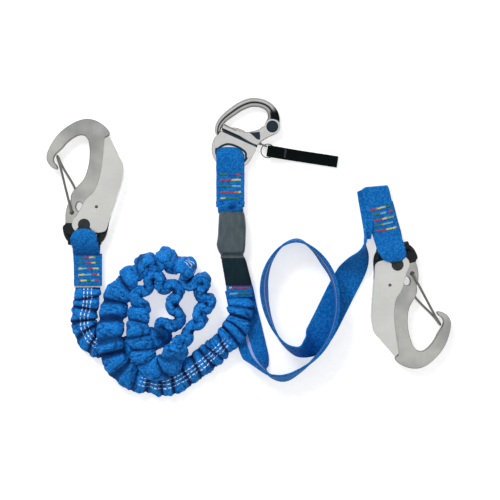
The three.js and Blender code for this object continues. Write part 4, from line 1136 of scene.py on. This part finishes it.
def hook(side, place):
    """One locking hook: plate, eye moulding, lock lever, rivet, stop pin and wire gate."""

    def make(name, parts, body, material, slot, node, **more):
        node, body = f"{side}_{node}", f"{side}_{body}"
        solid(f"{side}_{name}", parts, place, HOOK_MID_Z, body, material, slot, [node], **more)

    a = np.linspace(0, TAU, 28, endpoint=False) + 0.5
    window = np.column_stack([HOOK_WINDOW[0] + 3.7 * np.cos(a), HOOK_WINDOW[1] + 4.9 * np.sin(a)])
    plate = slab(flowing(PLATE_CHAIN, 6), -4, 4, 1.0, [window, circle(*GATE_PIN, 1.65, 20)])
    ring = slab(PLATE_RING, -2.2, 2.2, 0.6, [PLATE_RING_HOLE])
    # Painted shade: darker on the plate's sides and edge rounds, and all over the thinner ring.
    wall_shade = [smooth_step(3.95 - np.abs(points[:, 2]), 0.1, 0.8) * 0.85 for points, _ in (plate, ring)]
    make("hook_frame", [plate, ring], "hook", "plate", "plate", "hook_plate", shades=wall_shade)
    core = slab(flowing(EYE_CHAIN, 6), -3.95, 3.95, 1.4, [flowing(EYE_OPENING, 4, True)])
    rim = slab(flowing(EYE_RIM, 4, True), -5.2, 5.2, 1.6)
    bar = lathe(BAR_PROFILE, "x", 36, (0, EYE_Y, 0))
    make("eye_moulding", [core, rim, bar], "hook", "plastic", "plastic", "eye_insert")
    lever_outline = np.concatenate([LEVER_CHAIN[:1], flowing(LEVER_CHAIN[1:], 6)])
    holes = [circle(*STOP_PIN, 1.3, 16), circle(0, 0, 3.3, 24)]
    cheeks = [slab(lever_outline, low, low + 2.1, 0.55, holes) for low in (4.4, -6.5)]
    spine = slab(np.concatenate([flowing(SPINE_CHAIN[:5], 6), flowing(SPINE_CHAIN[5:], 6)]), -6.1, 6.1, 0.2)
    make("lever_shell", [*cheeks, spine], "lever", "lever", "lever", "lock_lever")
    rivet = [lathe(mirrored(RIVET_HEAD), around=48), slab(COLLAR, 6.62, 7.2, 0.2)]
    make("rivet_heads", rivet, "hook", "rivet", "plastic", "lever_rivet")
    pin = lathe(mirrored(PIN_HEAD), around=24, centre=(*STOP_PIN, 0))
    make("stop_pin_heads", [pin], "lever", "pin", "steel", "lever_stop_pin")
    make("gate_wire", [wire(GATE_WIRE, 1.3, 8, 16)], "gate", "steel", "steel", "wire_gate", sharp=ROUND_SHARP)


hook("left", LEFT_HOOK)
hook("right", RIGHT_HOOK)


# ------------------------------------------------------------------ snap shackle and pull strap

ARM_STATIONS = [
    (-1, 2.6, 7.4), (-2.2, 8.4, 6.4), (-6.5, 14.4, 5.5), (-12.5, 17.6, 4.9), (-21, 17.8, 4.8),
    (-30.7, 14.2, 4.9), (-39, 6.2, 4.9), (-45.4, -4.0, 4.7), (-50, -13.2, 4.2), (-51.8, -20.6, 3.7),
    (-51.2, -26, 3.3), (-49.6, -30, 2.5), (-48.8, -31.6, 1.2),
]
NECK_CHAIN = [
    (-34, -18.6), (-28, -17.6), (-22.6, -16.2), (-16.5, -12.4), (-11.8, -8.0), (-8.8, -3.4), (0, -1.2),
    (6.2, -2.4), (6.0, -6.0), (1.6, -11.4), (-1.4, -15.2), (-4.0, -19.4), (-6.2, -24.2), (-20, -24.4),
    (-32, -22),
]
ARCH_CHAIN = [
    (-11.4, -40.5), (-12.6, -37.2), (-15.2, -35.0), (-20, -33.8), (-26, -33.4), (-32, -34.0), (-36.6, -35.8),
    (-40.4, -39.4), (-43.6, -44.6),
]


# Outlines of dark slabs that stand in for shade, in the recess by the neck and in the groove by the barrel.
SHACKLE_RECESS_SHADOW = [
    (-19.2, -15.6), (-14, -12.9), (-9.9, -10.4), (-7.6, -14), (-5.9, -18.2), (-9.4, -18.9), (-14, -17.2),
]
SHACKLE_GROOVE_SHADOW = [(-45.4, -24.2), (-6.0, -24.2), (-5.6, -26.6), (-45.6, -26.6)]
BARREL_PROFILE = [(1.9, -47.2), (3.1, -47.2), (3.7, -46.6), (3.7, -6.8), (3.1, -6.0), (1.9, -6.0)]
BOSS_PROFILE = [(3.4, -3.5), (7.6, -3.5), (8.5, -2.9), (8.5, -1.75), (3.4, -1.75)]
BOSS_TOP_PROFILE = [(3.4, 1.75), (8.5, 1.75), (8.5, 2.9), (7.6, 3.5), (3.4, 3.5)]
ARM_RIVET = [(0.05, 5.5), (2.7, 5.5), (3.2, 5.8), (4.9, 5.6), (5.9, 5.0), (6.3, 4.3), (6.2, 3.82), (3, 3.82)]
ROD_PROFILE = [
    (0.05, -50.2), (1.1, -50.2), (1.5, -49.7), (1.5, -33.2), (2.6, -33), (2.6, -31), (1.5, -30.8), (1.5, -3),
]


def shackle():
    """The snap shackle: frame, swinging arm and its rivet, plunger, spring and split ring."""

    def make(name, parts, body, material, slot, *nodes, **more):
        solid(name, parts, SHACKLE, SHACKLE_MID_Z, body, material, slot, nodes, **more)

    barrel = lathe(BARREL_PROFILE, "x", 44, (0, BARREL_Y, 0))
    neck = slab(flowing(NECK_CHAIN, 7, True), -3.6, 3.6, 1.3)
    bosses = [lathe(profile, "z", 48) for profile in (BOSS_PROFILE, BOSS_TOP_PROFILE)]
    turn = np.linspace(3.56, TAU - 0.13, 60)
    ring_side = np.array(BAIL_CENTRE) + BAIL_OPENING * np.column_stack([np.cos(turn), np.sin(turn)])
    opening = np.concatenate([ring_side, flowing(ARCH_CHAIN, 5)])
    bail = slab(circle(*BAIL_CENTRE, BAIL_RADIUS, 96), -2.2, 2.2, 1.1, [opening])
    parts = [barrel, neck, *bosses, bail, web_wedge()]
    # Painted shade: a dark band along the barrel's lower flank.
    flank_shade = smooth_step(BARREL_Y - barrel[0][:, 1], 1.0, 1.7) * 0.96
    make("shackle_frame", parts, "shackle", "polished", "polished", "shackle_body",
         shades=[flank_shade] + [np.zeros(len(points)) for points, _ in parts[1:]])
    # Dark slabs of painted shadow: round the arch opening, in the recess by the neck, and in the groove
    # between barrel and web.
    arch_edge_shade = slab(opening, -1.9, 1.4, 0.2, [opening - outward(opening) * 2.0])
    shadows = [arch_edge_shade, slab(SHACKLE_RECESS_SHADOW, 2.6, 3.72, 0.1), slab(SHACKLE_GROOVE_SHADOW, -1.6, 2.35, 0.1)]
    make("shackle_painted_shadows", shadows, "shackle", "blued_and_shadow", "steel")
    *bow, shade = arm_bow()
    make("shackle_arm_bow", [bow], "arm", "polished", "polished", "shackle_arm",
         sharp=ROUND_SHARP, shades=[shade])
    rivet = lathe(mirrored(ARM_RIVET), around=48)
    make("arm_rivet_heads", [rivet], "shackle", "blued_and_shadow", "steel", "shackle_arm_rivet")
    rod = lathe(ROD_PROFILE, "x", 28, (0, BARREL_Y, 0))
    ear_points, ear_faces = slab(circle(0, 0, 3.5, 40), -0.8, 0.8, 0.3, [circle(0, 0, 1.9, 24)])
    ear = (ear_points[:, [0, 2, 1]] + [0, BARREL_Y, 0], ear_faces)
    make("plunger_rod", [rod, ear], "plunger", "steel", "steel", "shackle_plunger")
    step = np.arange(85)
    turn = step * TAU / 12
    coil = [-30.3 + 15.2 * step / 84, BARREL_Y + 2.3 * np.cos(turn), 2.3 * np.sin(turn)]
    spring = wire(np.column_stack(coil), 0.35, 3, 8)
    make("plunger_coil", [spring], "plunger", "steel", "steel", "shackle_plunger_spring", sharp=ROUND_SHARP)
    step = np.arange(45)
    turn = 0.4 + step * TAU / 24
    ring_x, ring_y = RING_CENTRE
    rise = -0.55 + 1.1 * step / 44
    turns = [ring_x + RING_RADIUS * np.cos(turn), ring_y + RING_RADIUS * np.sin(turn), rise]
    split_ring = wire(np.column_stack(turns), 0.55, 3, 12)
    make("split_ring_wire", [split_ring], "ring", "steel", "steel", "release_split_ring", sharp=ROUND_SHARP)


def arm_bow():
    """The arm swept along its bow, with painted shade: a dark middle line for a polished round's reflection,
    dark edges, shade at its root and inside its tip.
    """
    fine, _ = catmull(ARM_STATIONS, 8)
    n, around = len(fine), 48
    flat = np.zeros(n)
    centre = np.column_stack([fine[:, :2], flat])
    along = unit(np.gradient(centre, axis=0))
    outward_side = np.column_stack([along[:, 1], -along[:, 0], flat])
    a = np.linspace(0, TAU, around, endpoint=False)
    x, z = blunt(np.cos(a), 0.8)[None, :], blunt(np.sin(a), 0.8)[None, :]
    u = np.linspace(0, 1, n)[:, None]
    points = swept(centre, (outward_side, x * fine[:, 2:3]))
    points[..., 2] = z * (3.3 - 0.5 * u)
    inner = -x * np.ones_like(u)
    shade = np.minimum(1.5 * np.exp(-(((inner - 0.06) / 0.22) ** 2)), 1.0)
    shade += 0.2 * smooth_step(inner, 0.2, 0.45)
    shade += 0.75 * smooth_step(inner, 0.82, 0.96) + 0.6 * smooth_step(-inner, 0.86, 0.98)
    shade = np.maximum(shade, smooth_step(0.24 - u, 0.0, 0.1) * smooth_step(0.85 - inner, 0.1, 0.4))
    shade = np.maximum(shade, smooth_step(u, 0.84, 0.9) * smooth_step(inner, 0.1, 0.3) * 0.95)
    return points.reshape(-1, 3), tube_faces(n, around), np.clip(shade, 0, 1).ravel()


def web_wedge():
    """Flat web between the barrel and the ring, beside the straight groove."""
    near = [(-45.4, -26.2), (-6.9, -26.2), (-5.4, -30), (-5.8, -36.4), (-9.6, -40.4)]
    far = [(-46.6, -44.0), (-49.8, -38), (-50, -30.6)]
    return slab(np.concatenate([near, flowing(ARCH_CHAIN, 5), far]), -2.0, 2.3, 0.3)


def pull_strap():
    place = (*local_to_row((*RING_CENTRE, 0), SHACKLE, 0)[:2].tolist(), -98.7)
    top = [
        (74.4, 2.25), (60, 2.25), (44, 2.3), (30, 2.6), (24, 3.6), (17, 5.8), (10, 7.9), (5, 8.55),
        (2.4, 8.5), (0.45, 7.6), (-0.3, SHACKLE_MID_Z), (0.45, 4.8), (2.4, 3.9), (6, 3.6), (10, 3.2),
        (17, 1.7), (24, 1.0), (44, 0.95), (74.4, 0.95),
    ]
    mesh = profile_band("pull_strap", top, place, 0.0, 6.0, 0.62, columns=13)
    piece(mesh, "pull_strap_tape", "strap", "strap", ["release_pull_strap"])
    parts = []
    for rise in (0, 0.75, 1.5):
        y = 17.7 + rise
        points = [(-4.4 + 0.55 * i, y + (0.18 if i % 2 else -0.18), -0.26 * rise) for i in range(17)]
        parts.append(wire(points, 0.3))
    runs = [q[0] for p, _ in parts for q in p]
    hues = [rgb(30, 33, 36)] * len(runs)
    thread("pull_strap_stitching", parts, hues, runs, place, 6.55, "strap", ["pull_strap_stitch"])


shackle()
pull_strap()


# ------------------------------------------------------------------ webbing inside the sleeves


def hidden_webbing():
    folded = [(-13.0, 3.1)]
    for k in range(4):
        z = 3.1 + 2.45 * k
        back, out = (-12.2, -1) if k % 2 else (16.8, 1)
        folded += [(back, z), (back + 1.2 * out, z + 1.2), (back, z + 2.45)]
    folded.append((17.0, 12.9))
    mesh = profile_band("tear_pack", folded, TRUNK, -16.8, 10.7, 0.95)
    webbing(mesh, "tear_pack_folds", ["tear_webbing_pack"], material="sewn")
    for k, z in enumerate((4.6, 7.1)):
        profile = [(-15.2, z), (-32, z), (-50, z)]
        mesh = profile_band("junction_layer", profile, TRUNK, [-15.0, -13.6, -10.2], 10.2, 1.1)
        replaced = ["junction_webbing"] if k else ()
        webbing(mesh, f"junction_layer_{k + 1}", replaced, material="sewn")


hidden_webbing()


# ------------------------------------------------------------------ stage


def sky(world):
    """A plain studio round the object, in greys that change with height alone."""
    world.use_nodes = True
    tree = world.node_tree
    background = next(n for n in tree.nodes if n.type == "BACKGROUND")
    coordinate = tree.nodes.new("ShaderNodeTexCoord")
    split = tree.nodes.new("ShaderNodeSeparateXYZ")
    ramp = tree.nodes.new("ShaderNodeValToRGB")
    tree.links.new(coordinate.outputs["Generated"], split.inputs[0])
    tree.links.new(split.outputs[2], ramp.inputs[0])
    tree.links.new(ramp.outputs[0], background.inputs["Color"])
    stops = [
        (0.0, 0.3), (0.03, 0.06), (0.26, 0.1), (0.34, 0.95), (0.5, 1.0), (0.58, 0.3), (0.68, 0.36),
        (0.8, 1.0),
    ]
    elements = ramp.color_ramp.elements
    elements[1].position = stops[1][0]
    for k, (at, level) in enumerate(stops):
        element = elements[k] if k < 2 else elements.new(at)
        element.color = (level, level, level, 1)
    background.inputs["Strength"].default_value = 0.78


def studio():
    bpy.context.scene.world = bpy.data.worlds.new("studio")
    sky(bpy.context.scene.world)
    for name, spot, size, power in (
        ("key", (-0.8, 1.3, 1.4), 0.7, 30.0),
        ("fill", (1.2, -0.6, 1.3), 1.2, 4.0),
    ):
        lamp = bpy.data.lights.new(name, "AREA")
        lamp.size = size
        lamp.energy = power
        obj = bpy.data.objects.new(name, lamp)
        obj.location = spot
        obj.rotation_euler = (-Vector(spot)).to_track_quat("-Z", "Y").to_euler()
        bpy.context.scene.collection.objects.link(obj)
        obj.visible_glossy = False
    mesh = bpy.data.meshes.new("floor")
    corners = [(FLOOR_HALF * x, FLOOR_HALF * y, 0) for x, y in ((-1, -1), (1, -1), (1, 1), (-1, 1))]
    mesh.from_pydata(corners, [], [(0, 1, 2, 3)])
    floor = bpy.data.objects.new("floor", mesh)
    bpy.context.scene.collection.objects.link(floor)
    s = Shader("pale_floor", Roughness=0.9, Emission_Color=(1, 1, 1, 1), Emission_Strength=0.55)
    grain = s.noise(s.place(), 160.0, 3.0)
    color = s.mix(s.ramp(grain, 0.3, 0.7), rgb(206, 206, 206), rgb(214, 214, 213))
    mesh.materials.append(s.finish(color, None, s.bump(grain, 0.05 * MM, 0.3)))
    bpy.context.scene.view_settings.view_transform = "Standard"


studio()
